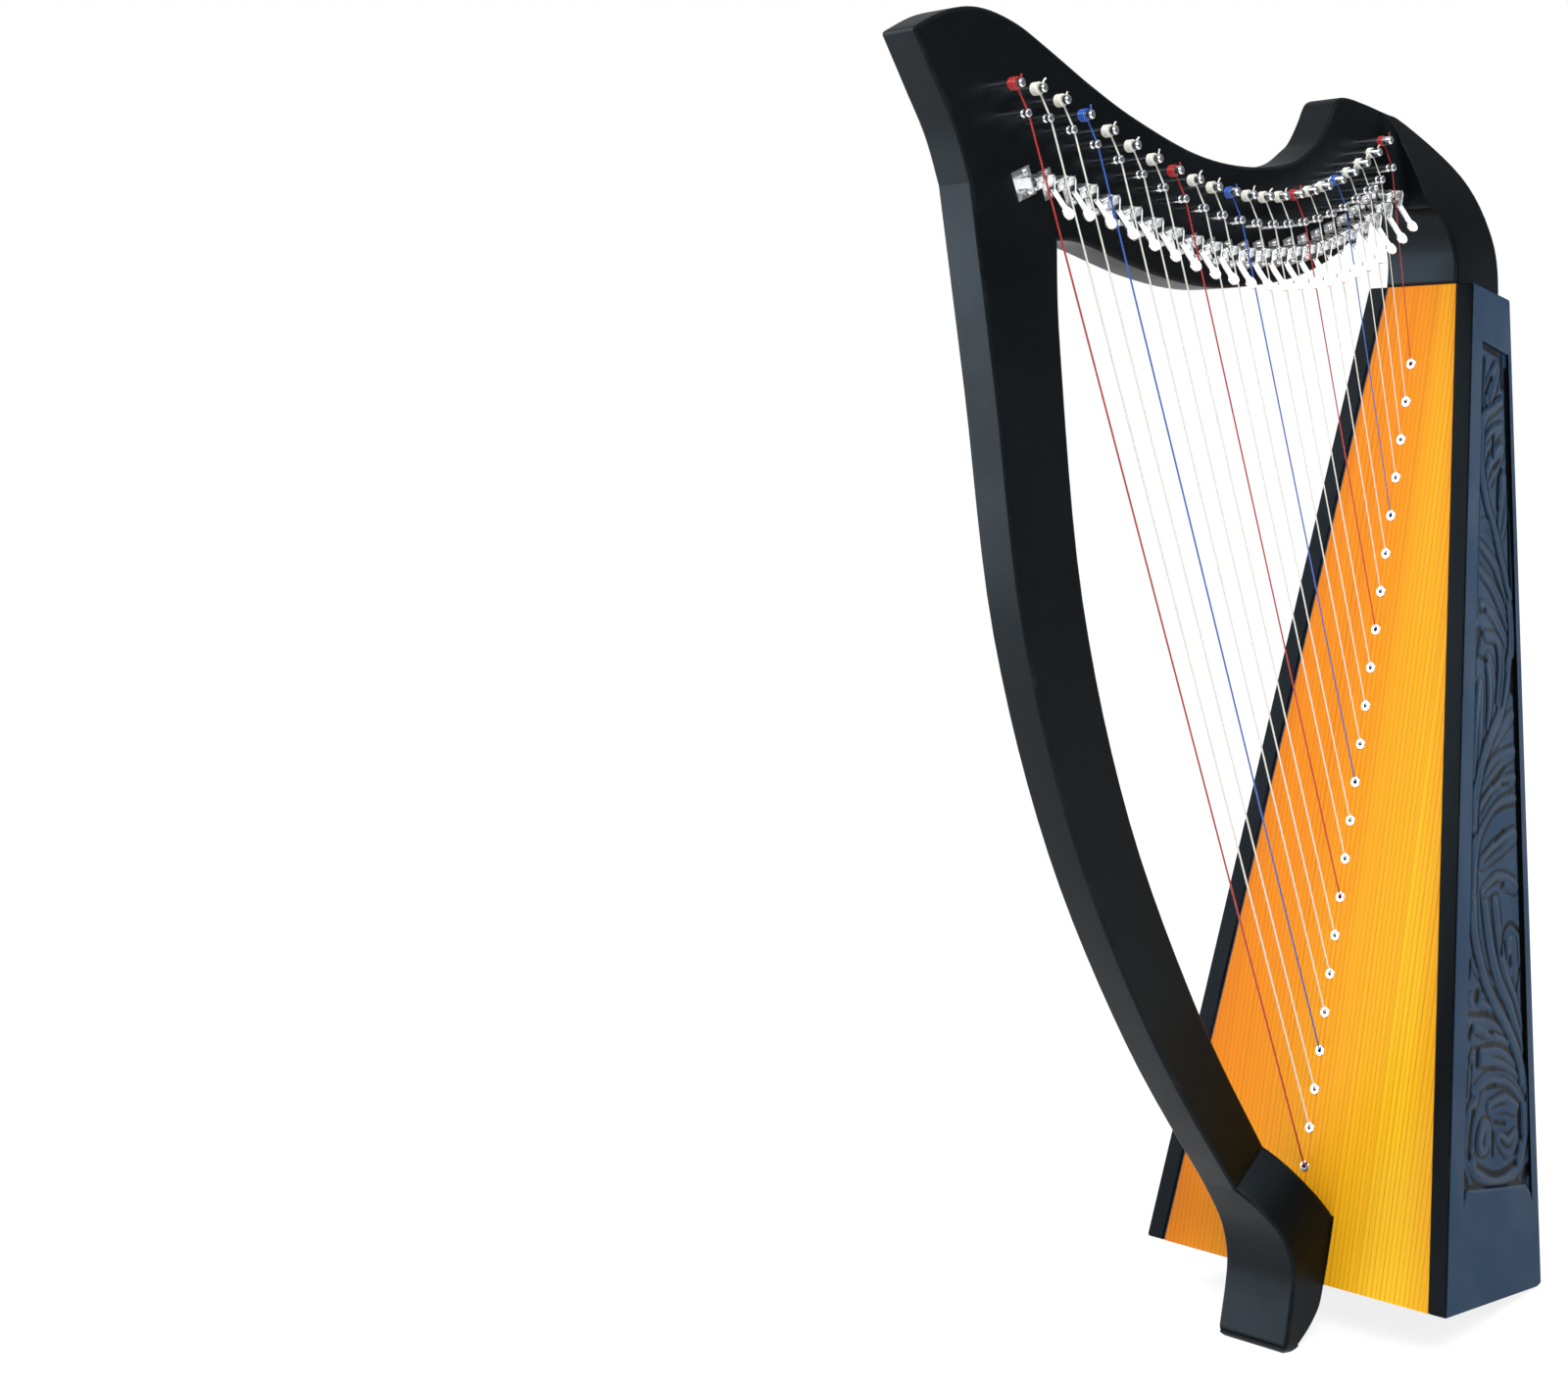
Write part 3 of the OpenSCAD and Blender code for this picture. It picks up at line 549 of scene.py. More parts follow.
# the finish of each CAD piece
dress = {
    "soundboard": "spruce", "string_rib": "inner", "left_side_panel": "slate", "right_side_panel": "slate",
    "back_panel": "black", "base_panel": "black", "top_block": "black", "neck": "black", "pillar": "black",
    "foot": "black", "joint_dowels": "inner", "grommets": "nickel", "bridge_pins": "nickel",
    "lever_brackets": "lever", "strings": "clear",
}
for name, obj in nodes.items():
    key = dress.get(name, "nickel" if name.startswith("tuning") else "lever")
    obj.data.materials.clear()
    obj.data.materials.append(finishes[key])


def addPiece(name, mesh, body, finish):
    mesh.materials.append(finishes[finish])
    obj = bpy.data.objects.new(name, mesh)
    scene.collection.objects.link(obj)
    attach(obj, body)
    return obj


copySet = {"weld": 2e-6, "flatBend": 0.3, "seatReach": 0.4 * mm, "crossing": -1e-18}


def wholeMesh(nodeName):
    bm = bmesh.new()
    bm.from_mesh(nodes[nodeName].data)
    bmesh.ops.remove_doubles(bm, verts=bm.verts, dist=copySet["weld"])
    return bm


# copies of the CAD pieces with their edges eased, as sanding and tumbling leave them
easeSet = {
    "wood": {"radius": 2.4 * mm, "steps": 3, "bend": 35, "clamp": False,
             "foldFrom": 100, "foldBack": 0.35 * mm},
    "panel": {"radius": 1.6 * mm, "steps": 3, "bend": 35, "clamp": False},
    "board": {"radius": 0.8 * mm, "steps": 2, "bend": 35, "clamp": False},
    "pin": {"radius": 0.35 * mm, "steps": 2, "bend": 40, "clamp": True},
    "lever": {"radius": 0.28 * mm, "steps": 2, "bend": 40, "clamp": True},
}


# numbers of the first two sides of a flat face's outline that cross
def firstCrossing(face):
    drop = max(range(3), key=lambda k: abs(face.normal[k]))
    a = np.array([[c for k, c in enumerate(v.co) if k != drop] for v in face.verts])
    b = np.roll(a, -1, axis=0)

    def turn(p, q, r):
        side, out = q - p, r - p
        return side[..., 0] * out[..., 1] - side[..., 1] * out[..., 0]

    p, q = a[:, None], b[:, None]
    r, t = a[None, :], b[None, :]
    parted = turn(p, q, r) * turn(p, q, t) < copySet["crossing"]
    found = np.argwhere(parted & (turn(r, t, p) * turn(r, t, q) < copySet["crossing"]))
    return found[0] if len(found) else None


# an easing wider than the thin end of a flat face folds that end over the face,
# so the end is cut off and set back
def tuckFolds(bm, s):
    for face in [f for f in bm.faces if len(f.verts) > s["foldFrom"]]:
        crossing = firstCrossing(face)
        while crossing is not None:
            verts = list(face.verts)
            first, second = crossing
            end = verts[first + 1:second + 1]
            rest = verts[second + 1:] + verts[:first + 1]
            end, rest = sorted((end, rest), key=len)
            bmesh.utils.face_split(face, rest[-1], rest[0])
            out = face.normal.copy()
            face = next(f for f in rest[0].link_faces if rest[len(rest) // 2] in f.verts)
            for v in end:
                v.co -= out * s["foldBack"]
            crossing = firstCrossing(face)


def easedCopy(nodeName, s, finish, keepFrom=(), skip=None):
    bm = wholeMesh(nodeName)
    flatBend = math.radians(copySet["flatBend"])
    bmesh.ops.dissolve_limit(bm, angle_limit=flatBend, verts=bm.verts, edges=bm.edges)
    others = [BVHTree.FromBMesh(wholeMesh(n)) for n in keepFrom]
    bend = math.radians(s["bend"])

    def seated(point):
        return any(t.find_nearest(point, copySet["seatReach"])[0] is not None for t in others)

    chosen = []
    for e in bm.edges:
        if len(e.link_faces) != 2 or e.calc_face_angle(0) < bend or not e.is_convex:
            continue
        middle = (e.verts[0].co + e.verts[1].co) / 2
        if skip and skip(middle) or all(seated(p) for p in (e.verts[0].co, middle, e.verts[1].co)):
            continue
        chosen.append(e)
    edge = bm.faces.layers.float.new("eased")
    made = bmesh.ops.bevel(bm, geom=chosen, offset=s["radius"], segments=s["steps"], profile=0.5,
                           affect="EDGES", clamp_overlap=s["clamp"], loop_slide=True)
    for f in made["faces"]:
        f[edge] = 1.0
    if "foldFrom" in s:
        tuckFolds(bm, s)
    for f in bm.faces:
        f.smooth = True
    for e in bm.edges:
        e.smooth = len(e.link_faces) == 2 and e.calc_face_angle(0) < bend
    mesh = bpy.data.meshes.new(nodeName + "_eased")
    bm.to_mesh(mesh)
    bm.free()
    body = nodeName if nodeName in joints else "frame"
    obj = addPiece(nodeName + "_eased", mesh, body, finish)
    obj.modifiers.new("weighted", "WEIGHTED_NORMAL").keep_sharp = True
    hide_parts(nodeName)
    return obj


def middleOf(nodeName):
    low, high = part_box(nodeName)
    return (low + high) / 2


pinNames = sorted(n for n in nodes if n.startswith("tuning_pin"))
leverNames = sorted(n for n in nodes if n.startswith("lever_") and n in joints)
pinMiddles = [middleOf(n) for n in pinNames]
boreReach = 4 * mm


def atBore(point):
    return any((point.x - p.x) ** 2 + (point.z - p.z) ** 2 < boreReach ** 2 for p in pinMiddles)


# the shoulder's cove runs out to nothing at the crest, above the last pin, so its thin rim stays as it is
coveSet = {"deep": (0.05 * mm, 9 * mm), "behind": (0, 32 * mm)}


def atBoreOrCove(point):
    behind = point.x - pinMiddles[-1].x
    thin = coveSet["deep"][0] < -point.y < coveSet["deep"][1]
    return atBore(point) or thin and coveSet["behind"][0] < behind < coveSet["behind"][1]


# the toe's lower edge runs out on the floor, and stays as it is there
toeRise = 3.2 * mm


def atFloor(point):
    return point.z < toeRise


seats = {
    "neck": ["pillar", "soundboard", "top_block", "left_side_panel", "right_side_panel", "bridge_pins"],
    "pillar": ["neck", "foot"],
    "foot": ["pillar", "soundboard", "base_panel", "left_side_panel", "right_side_panel"],
}
keptSharp = {"neck": atBoreOrCove, "foot": atFloor}
for name, others in seats.items():
    easedCopy(name, easeSet["wood"], "black", others, keptSharp.get(name))
easedCopy("back_panel", easeSet["board"], "black", ["left_side_panel", "right_side_panel"])
easedCopy("base_panel", easeSet["board"], "black", ["left_side_panel", "right_side_panel"])
print("wood eased")

for name in pinNames + ["bridge_pins", "grommets"]:
    easedCopy(name, easeSet["pin"], "nickel")
for name in leverNames + ["lever_brackets"]:
    easedCopy(name, easeSet["lever"], "lever")
print("metal eased")


# places of the repeated pieces of one node, split where a gap opens along one axis
def clusters(nodeName, axis, gap):
    points = sorted((v.co.copy() for v in nodes[nodeName].data.vertices), key=lambda p: p[axis])
    groups = [[points[0]]]
    for a, b in zip(points, points[1:]):
        if b[axis] - a[axis] > gap:
            groups.append([])
        groups[-1].append(b)
    return groups


def boxMiddle(points):
    return Vector([(min(p[k] for p in points) + max(p[k] for p in points)) / 2 for k in range(3)])


eyelets = clusters("grommets", axis=2, gap=6 * mm)
eyeletMiddles = [boxMiddle(g) for g in eyelets]
rowUp = (eyeletMiddles[-1] - eyeletMiddles[0]).normalized()
boardOut = Vector((-rowUp.z, 0, rowUp.x))
bridges = clusters("bridge_pins", axis=0, gap=1.5 * mm)
stringCount = len(pinNames)
print("eyelets", len(eyelets), "bridge pins", len(bridges))


# tube along a path, closed at both ends
def tubeInto(verts, faces, path, radius, sides):
    base = len(verts)
    turn = 2 * math.pi / sides
    normal = None
    for k, p in enumerate(path):
        ahead = (path[min(k + 1, len(path) - 1)] - path[max(k - 1, 0)]).normalized()
        if normal is None:
            normal = ahead.orthogonal().normalized()
        normal = (normal - ahead * normal.dot(ahead)).normalized()
        other = ahead.cross(normal)
        r = radius[k] if isinstance(radius, list) else radius
        for j in range(sides):
            verts.append(p + r * (math.cos(turn * j) * normal + math.sin(turn * j) * other))
        if k:
            a, b = base + (k - 1) * sides, base + k * sides
            for j in range(sides):
                n = (j + 1) % sides
                faces.append((a + j, a + n, b + n, b + j))
    last = base + (len(path) - 1) * sides
    faces.append(tuple(base + j for j in reversed(range(sides))))
    faces.append(tuple(last + j for j in range(sides)))


def smoothMesh(name, verts, faces, bend=50):
    mesh = bpy.data.meshes.new(name)
    mesh.from_pydata(verts, [], faces)
    mesh.shade_smooth()
    mesh.set_sharp_from_angle(angle=math.radians(bend))
    return mesh


# strings: knot behind the board, eyelet, bridge pin, tuning pin with its turns of string
stringSet = {
    "bassRadius": 0.6 * mm,
    "trebleRadius": 0.3 * mm,
    "sides": 10,
    "turnSteps": 24,
    "wholeTurns": 3,
    "windStart": 2.15 * mm,
    "windGap": 0.25 * mm,
    "skin": 0.05 * mm,
    "groove": (1.5 * mm, 1.8 * mm),
    "knotBehind": 11.7 * mm,
    "knotRadius": 2.0 * mm,
    "knotAngles": (-1.5, -1.1, -0.6, 0, 0.6, 1.1, 1.5),
    "knotSides": 12,
    "eyeletBend": (-0.5 * mm, 0.4 * mm, 3 * mm),
    "nutBend": 2 * mm,
    "runSteps": 12,
    "endSteps": 4,
    "octave": 7,
    "marked": {0: "red", 3: "blue"},
    "holeIn": 3 * mm,
    "tailOut": 3.2 * mm,
    "tailLong": (0.8, 0.2, 2.4),
    "tailLean": (0.35, 1.7, -0.25),
    "tailInside": (-0.8, -0.3, 0.3, 0.9),
    "tailOutside": (0.25, 0.5, 0.75, 1),
}


def flat(v):
    return Vector((v.x, 0, v.z))


def stringPath(i, s):
    r = s["bassRadius"] + (s["trebleRadius"] - s["bassRadius"]) * i / (stringCount - 1)
    pin = pinMiddles[i]
    low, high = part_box(pinNames[i])
    pinRadius = (high.x - low.x) / 2
    group = bridges[i]
    bridge = boxMiddle(group)
    ring = [p for p in group if s["groove"][0] < (flat(p) - flat(bridge)).length < s["groove"][1]]
    grooveY = sum(p.y for p in ring) / len(ring)
    grooveRadius = sum((flat(p) - flat(bridge)).length for p in ring) / len(ring)
    eyelet = eyeletMiddles[i]
    front = eyelet + boardOut * (max((p - eyelet).dot(boardOut) for p in eyelets[i]))
    down = (flat(front) - flat(bridge)).normalized()
    across = Vector((-down.z, 0, down.x))
    nut = flat(bridge) + across * (grooveRadius + r + s["skin"])
    nut.y = grooveY
    wind = pinRadius + r + s["skin"]
    toNut = flat(nut) - flat(pin)
    first = math.atan2(toNut.z, toNut.x) + math.acos(wind / toNut.length)
    mouth = math.atan2(-rowUp.z, -rowUp.x)
    sweep = (mouth - first) % (2 * math.pi) + 2 * math.pi * s["wholeTurns"]
    knot = front - boardOut * s["knotBehind"]
    ends, runs = s["endSteps"], s["runSteps"]
    path = [knot + (front - knot) * (k / ends) for k in range(ends)]
    leave = (nut - front).normalized()
    before, after, clear = s["eyeletBend"]
    path += [front + boardOut * before, front + leave * after, front + leave * clear]
    straight = (nut - front).length
    path += [front + leave * straight * k / runs for k in range(1, runs)]
    tangent = Vector((math.cos(first), 0, math.sin(first))) * wind + flat(pin)
    tangent.y = grooveY + s["windStart"]
    bend = s["nutBend"]
    path += [nut + (front - nut).normalized() * bend, nut, nut + (tangent - nut).normalized() * bend]
    path += [nut + (tangent - nut) * (k / ends) for k in range(1, ends)]
    steps = int(sweep / (2 * math.pi) * s["turnSteps"])
    pitch = 2 * r + s["windGap"]
    for k in range(steps + 1):
        angle = first + sweep * k / steps
        y = tangent.y - pitch * sweep * k / steps / (2 * math.pi)
        path.append(Vector((pin.x + wind * math.cos(angle), y, pin.z + wind * math.sin(angle))))
    return path, r, pinRadius


def knotInto(verts, faces, middle, s):
    r = s["knotRadius"]
    path = [middle + boardOut * r * math.sin(a) for a in s["knotAngles"]]
    radii = [r * math.cos(a) for a in s["knotAngles"]]
    tubeInto(verts, faces, path, radii, s["knotSides"])


def makeStrings(s):
    parts = {"clear": ([], []), "red": ([], []), "blue": ([], [])}
    for i in range(stringCount):
        kind = s["marked"].get(i % s["octave"], "clear")
        verts, faces = parts[kind]
        path, r, pinRadius = stringPath(i, s)
        tubeInto(verts, faces, path, r, s["sides"])
        knotInto(verts, faces, path[0], s)
        hole = pinMiddles[i].copy()
        hole.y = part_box(pinNames[i])[0].y + s["holeIn"]
        mean, swing, step = s["tailLong"]
        reach = s["tailOut"] * (mean + swing * math.sin(step * i))
        sway, swayStep, fall = s["tailLean"]
        lean = Vector((sway * math.sin(swayStep * i), fall, 0)) * s["tailOut"]
        tail = [hole + rowUp * pinRadius * k for k in s["tailInside"]]
        tail += [hole + rowUp * (pinRadius + reach * k) + lean * k * k for k in s["tailOutside"]]
        tailVerts, tailFaces = [], []
        tubeInto(tailVerts, tailFaces, tail, r, s["sides"])
        name = "tail_%02d" % (i + 1)
        addPiece(name, smoothMesh(name, tailVerts, tailFaces), pinNames[i], kind)
    for kind, (verts, faces) in parts.items():
        name = "strings_" + kind
        obj = addPiece(name, smoothMesh(name, verts, faces), "frame", kind)
        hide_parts("strings")


makeStrings(stringSet)
print("strings ready")


# two slotted screws in each lever bracket
screwSet = {
    "apart": 5.6 * mm,
    "seat": 1.2 * mm,
    "profile": [(0.0, 1.15), (0.8, 1.08), (1.5, 0.85), (2.05, 0.45), (2.2, 0.1), (2.2, 0.0)],
    "shank": (1.4, -1.1),
    "sides": 24,
    "slotHalf": 0.3,
    "slotDeep": 0.55,
    "slotAbove": 0.12,
    "slotFloor": 0.1,
    "turned": (1.9, 2.3),
    "bend": 40,
}


def screwHead(s):
    bm = bmesh.new()
    sides = s["sides"]
    rings = []
    for radius, height in s["profile"] + [(s["shank"][0], 0.0), s["shank"]]:
        if radius == 0:
            rings.append([bm.verts.new((0, 0, height * mm))])
            continue
        turns = [2 * math.pi / sides * j for j in range(sides)]
        circle = [(radius * mm * math.cos(t), radius * mm * math.sin(t), height * mm) for t in turns]
        rings.append([bm.verts.new(p) for p in circle])
    for a, b in zip(rings, rings[1:]):
        for j in range(sides):
            n = (j + 1) % sides
            corners = (a[0], b[j], b[n]) if len(a) == 1 else (a[j], b[j], b[n], a[n])
            bm.faces.new(corners)
    bm.faces.new(list(reversed(rings[-1])))
    for side in (-1, 1):
        bmesh.ops.bisect_plane(bm, geom=bm.verts[:] + bm.edges[:] + bm.faces[:], dist=1e-7,
                               plane_co=(side * s["slotHalf"] * mm, 0, 0), plane_no=(1, 0, 0))
    slot = [f for f in bm.faces if abs(f.calc_center_median().x) < s["slotHalf"] * mm
            and f.calc_center_median().z > s["slotAbove"] * mm]
    sunk = bmesh.ops.extrude_face_region(bm, geom=slot)
    bmesh.ops.delete(bm, geom=slot, context="FACES")
    floor = [v for v in sunk["geom"] if isinstance(v, bmesh.types.BMVert)]
    for v in floor:
        v.co.z = max(v.co.z - s["slotDeep"] * mm, s["slotFloor"] * mm)
    bmesh.ops.recalc_face_normals(bm, faces=bm.faces)
    verts = [v.co.copy() for v in bm.verts]
    bm.verts.index_update()
    faces = [tuple(v.index for v in f.verts) for f in bm.faces]
    bm.free()
    return verts, faces


def makeScrews(s):
    headVerts, headFaces = screwHead(s)
    verts, faces = [], []
    for i, name in enumerate(leverNames):
        j = joints[name]
        across = -Vector(j["axis"])
        down = Vector((across.z, 0, -across.x))
        middle = Vector((j["pos_m"][0], -s["seat"], j["pos_m"][2]))
        for k, side in enumerate((-1, 1)):
            turned = s["turned"][0] * i + s["turned"][1] * k
            one = down * math.cos(turned) + across * math.sin(turned)
            two = Vector((0, -1, 0)).cross(one)
            base = len(verts)
            place = middle + down * side * s["apart"]
            verts += [place + one * v.x + two * v.y + Vector((0, -1, 0)) * v.z for v in headVerts]
            faces += [tuple(base + n for n in f) for f in headFaces]
    mesh = smoothMesh("bracket_screws", verts, faces, s["bend"])
    addPiece("bracket_screws", mesh, "frame", "lever")


makeScrews(screwSet)
print("screws ready")


# carved sides: acanthus scrolls in the sunk field, as a relief over a grid
carveSet = {
    "across": 110,
    "along": 480,
    "squeeze": 0.56,
    "body": 1.1,
    "top": 2.95,
    "vein": 0.8,
    "veinHalf": (0.14, 0.5),
    "stemGroove": (0.8, 0.4, 0.7),
    "cutEnd": 1.2,
    "scoop": 0.16,
    "scoopReach": (0.8, 0.6),
    "tilt": 0.38,
    "trench": 1.3,
    "trenchLeft": 0.3,
    "spare": (1, 2),
    "pocketWall": (0.55, 0.6, 0.3),
    "plate": (10, 0.41, 9),
    "plateWall": (1.8, 2.2),
    "stipple": 0.18,
    "stippleBelow": 0.8,
    "seed": 7,
    "blurSteps": 1,
    "reliefBlur": 4,
    "reliefFull": 0.6,
    "reliefLowShade": (0.5, 0.9),
    "reliefPlate": 0.1,
    "step": 0.8,
    "facing": 0.8,
    "sunk": (2 * mm, 4 * mm),
    "wallGap": 0.01 * mm,
    "skirt": 0.1 * mm,
    "bend": 75,
    "plateReach": 1.5 * mm,
    "edgeFacing": 0.55,
}
# each leaf or stem: points as (share of the width from the front edge, mm above the field's lower edge),
# half widths in mm at its start, middle and tip, and its height as a share of the tallest
strokes = [
    ("leaf", [(.05, 66), (.06, 98)], (3.0, 4.0, 2.4), 0.74),
    ("leaf", [(.90, 116), (.80, 143), (.79, 166)], (4.0, 8.5, 6.5), 0.84),
    ("leaf", [(.56, 132), (.30, 143), (.12, 151)], (3.0, 5.5, 4.0), 0.80),
    ("leaf", [(.78, 114), (.42, 127), (.09, 128)], (3.0, 6.5, 4.4), 0.84),
    ("leaf", [(.74, 103), (.40, 110), (.07, 113)], (4.0, 7.2, 4.2), 0.90),
    ("leaf", [(.92, 80), (.55, 92), (.15, 92)], (5.0, 7.4, 5.2), 0.96),
    ("stem", [(.95, 110), (.82, 130), (.66, 148), (.56, 172), (.50, 192)], (4.0, 4.4, 4.0), 0.82),
    ("stem", [(.95, 96), (.75, 124), (.55, 142), (.40, 165), (.30, 192)], (4.0, 5.0, 4.2), 0.88),
    ("stem", [(.18, 68), (.06, 46), (.18, 21), (.50, 12), (.81, 21), (.945, 45), (.955, 66), (.90, 88),
              (.72, 109), (.50, 125), (.30, 143), (.12, 172), (.09, 205)], (4.0, 5.0, 4.0), 0.97),
    ("leaf", [(.92, 66), (.70, 78), (.40, 80), (.15, 71)], (3.4, 5.2, 2.8), 0.88),
    ("leaf", [(.56, 40), (.68, 35), (.79, 41)], (5.0, 7.6, 5.4), 0.80),
    ("leaf", [(.42, 60), (.62, 63), (.81, 59)], (5.0, 6.2, 4.4), 0.88),
    ("leaf", [(.30, 37), (.33, 47)], (7.4, 8.0, 7.0), 0.92),
    ("leaf", [(.28, 196), (.58, 205), (.86, 203)], (4.0, 6.4, 5.4), 0.80),
    ("leaf", [(.24, 214), (.55, 226), (.87, 236)], (4.0, 6.6, 5.4), 0.86),
    ("stem", [(.09, 196), (.10, 214), (.17, 232), (.38, 248), (.62, 256), (.90, 260)], (3.4, 4.2, 3.0), 0.92),
    ("leaf", [(.14, 241), (.44, 260), (.90, 273)], (4.0, 5.4, 4.2), 0.86),
    ("leaf", [(.20, 262), (.52, 280), (.90, 290)], (4.0, 5.8, 4.6), 0.90),
    ("leaf", [(.42, 290), (.66, 304), (.90, 314)], (3.4, 4.8, 4.0), 0.84),
    ("leaf", [(.10, 268), (.14, 300), (.17, 328)], (3.0, 5.2, 3.8), 0.82),
    ("leaf", [(.38, 302), (.45, 324), (.36, 346)], (4.0, 6.4, 4.4), 0.86),
    ("leaf", [(.88, 358), (.50, 374), (.18, 380)], (3.4, 4.2, 3.2), 0.80),
    ("leaf", [(.90, 370), (.52, 391), (.12, 402)], (3.6, 4.8, 3.4), 0.88),
    ("leaf", [(.90, 384), (.56, 407), (.14, 418)], (3.4, 4.4, 3.2), 0.94),
    ("stem", [(.09, 236), (.11, 254), (.22, 277), (.42, 298), (.62, 314), (.79, 336), (.93, 362), (.90, 388)],
     (3.4, 4.2, 3.8), 0.97),
    ("leaf", [(.58, 320), (.66, 344), (.56, 360), (.28, 361)], (3.4, 4.2, 3.2), 0.94),
    ("leaf", [(.05, 428), (.28, 433), (.50, 425)], (2.4, 3.4, 2.6), 0.78),
    ("leaf", [(.68, 430), (.80, 449), (.84, 468)], (4.0, 6.2, 4.8), 0.86),
    ("leaf", [(.30, 461), (.50, 475), (.74, 487)], (4.0, 6.8, 4.2), 0.84),
    ("leaf", [(.20, 482), (.46, 494), (.76, 501)], (3.0, 4.2, 3.2), 0.88),
    ("leaf", [(.30, 513), (.46, 528), (.62, 538)], (3.6, 5.8, 4.4), 0.90),
    ("stem", [(.92, 392), (.72, 412), (.50, 433), (.28, 447), (.12, 465), (.08, 484), (.17, 501), (.46, 510),
              (.78, 518)], (3.4, 3.6, 3.0), 0.97),
]
# hollows cut down to the floor: points as above, and half widths in mm
pockets = [
    ([(.10, 30), (.11, 44), (.15, 58)], 2.6), ([(.22, 24), (.50, 18), (.78, 24)], 1.9),
    ([(.87, 40), (.87, 58)], 2.0),
    ([(.45, 30), (.46, 45)], 1.4), ([(.47, 51), (.64, 50)], 1.0), ([(.36, 73), (.48, 74)], 1.2),
    ([(.02, 20), (.05, 15)], 4.0), ([(.93, 15), (.98, 20)], 4.0), ([(.20, 87), (.21, 97)], 2.3),
    ([(.15, 98), (.42, 100)], 1.0), ([(.07, 104), (.10, 111)], 1.8), ([(.05, 119), (.35, 119)], 0.9),
    ([(.37, 108), (.44, 107)], 1.0), ([(.17, 127), (.19, 133)], 2.7), ([(.04, 142), (.06, 151)], 2.2),
    ([(.76, 151), (.76, 157)], 1.5), ([(.86, 136), (.95, 150)], 1.2),
    ([(.60, 158), (.66, 173), (.79, 179), (.96, 174)], 1.5),
    ([(.985, 90), (.985, 345)], 1.9), ([(.02, 185), (.025, 345)], 1.7), ([(.03, 346), (.12, 362)], 3.6),
    ([(.10, 346), (.30, 345)], 1.0), ([(.61, 202), (.65, 203)], 1.5), ([(.48, 230), (.67, 238)], 1.0),
    ([(.44, 266), (.70, 279)], 1.0), ([(.64, 268), (.76, 269)], 0.9), ([(.92, 330), (.96, 350)], 2.6),
    ([(.94, 400), (.97, 540)], 2.0), ([(.03, 372), (.03, 455)], 1.6), ([(.12, 375), (.26, 377)], 1.2),
    ([(.45, 478), (.48, 492)], 1.3), ([(.50, 472), (.67, 478)], 1.1), ([(.23, 518), (.40, 530)], 1.5),
    ([(.61, 446), (.62, 462), (.72, 473)], 1.3), ([(.05, 505), (.12, 540)], 2.4),
    ([(.82, 528), (.80, 545)], 2.4), ([(.10, 548), (.80, 548)], 2.2),
]


def curveThrough(points, per=16):
    p = np.array([points[0]] + list(points) + [points[-1]], float)
    out = []
    for k in range(1, len(p) - 2):
        for t in np.arange(per) / per:
            a, b, c, d = p[k - 1], p[k], p[k + 1], p[k + 2]
            out.append((2 * b + (c - a) * t + (2 * a - 5 * b + 4 * c - d) * t ** 2
                        + (3 * b - a - 3 * c + d) * t ** 3) / 2)
    out.append(p[-1])
    return np.array(out)


def ease(x):
    x = np.clip(x, 0, 1)
    return x * x * (3 - 2 * x)


def blurred(h, reach):
    out = h
    for axis in (0, 1):
        pad = [(reach, reach) if k == axis else (0, 0) for k in (0, 1)]
        wide = np.cumsum(np.pad(out, pad, mode="edge"), axis=axis)
        wide = np.insert(wide, 0, 0, axis=axis)
        n = 2 * reach + 1
        last = wide.shape[axis]
        out = (np.take(wide, range(n, last), axis) - np.take(wide, range(last - n), axis)) / n
    return out


def strokeGap(points, s, field, reach):
    a, b, lowWidth, highWidth, length = field
    line = curveThrough(points)
    lineWidth = lowWidth + (highWidth - lowWidth) * line[:, 1] / length
    la, lb = (line[:, 0] - 0.5) * lineWidth * s["squeeze"], line[:, 1]
    steps = np.concatenate([[0], np.cumsum(np.hypot(np.diff(la), np.diff(lb)))])
    even = np.linspace(0, steps[-1], 2 + int(steps[-1] / s["step"]))
    la, lb, steps = np.interp(even, steps, la), np.interp(even, steps, lb), even
    near = (b > lb.min() - reach) & (b < lb.max() + reach) & (a > la.min() - reach) & (a < la.max() + reach)
    da, db = a[near][:, None] - la[None], b[near][:, None] - lb[None]
    hand = np.sign(da * np.gradient(lb)[None] - db * np.gradient(la)[None])
    return near, np.hypot(da, db), steps / steps[-1], hand


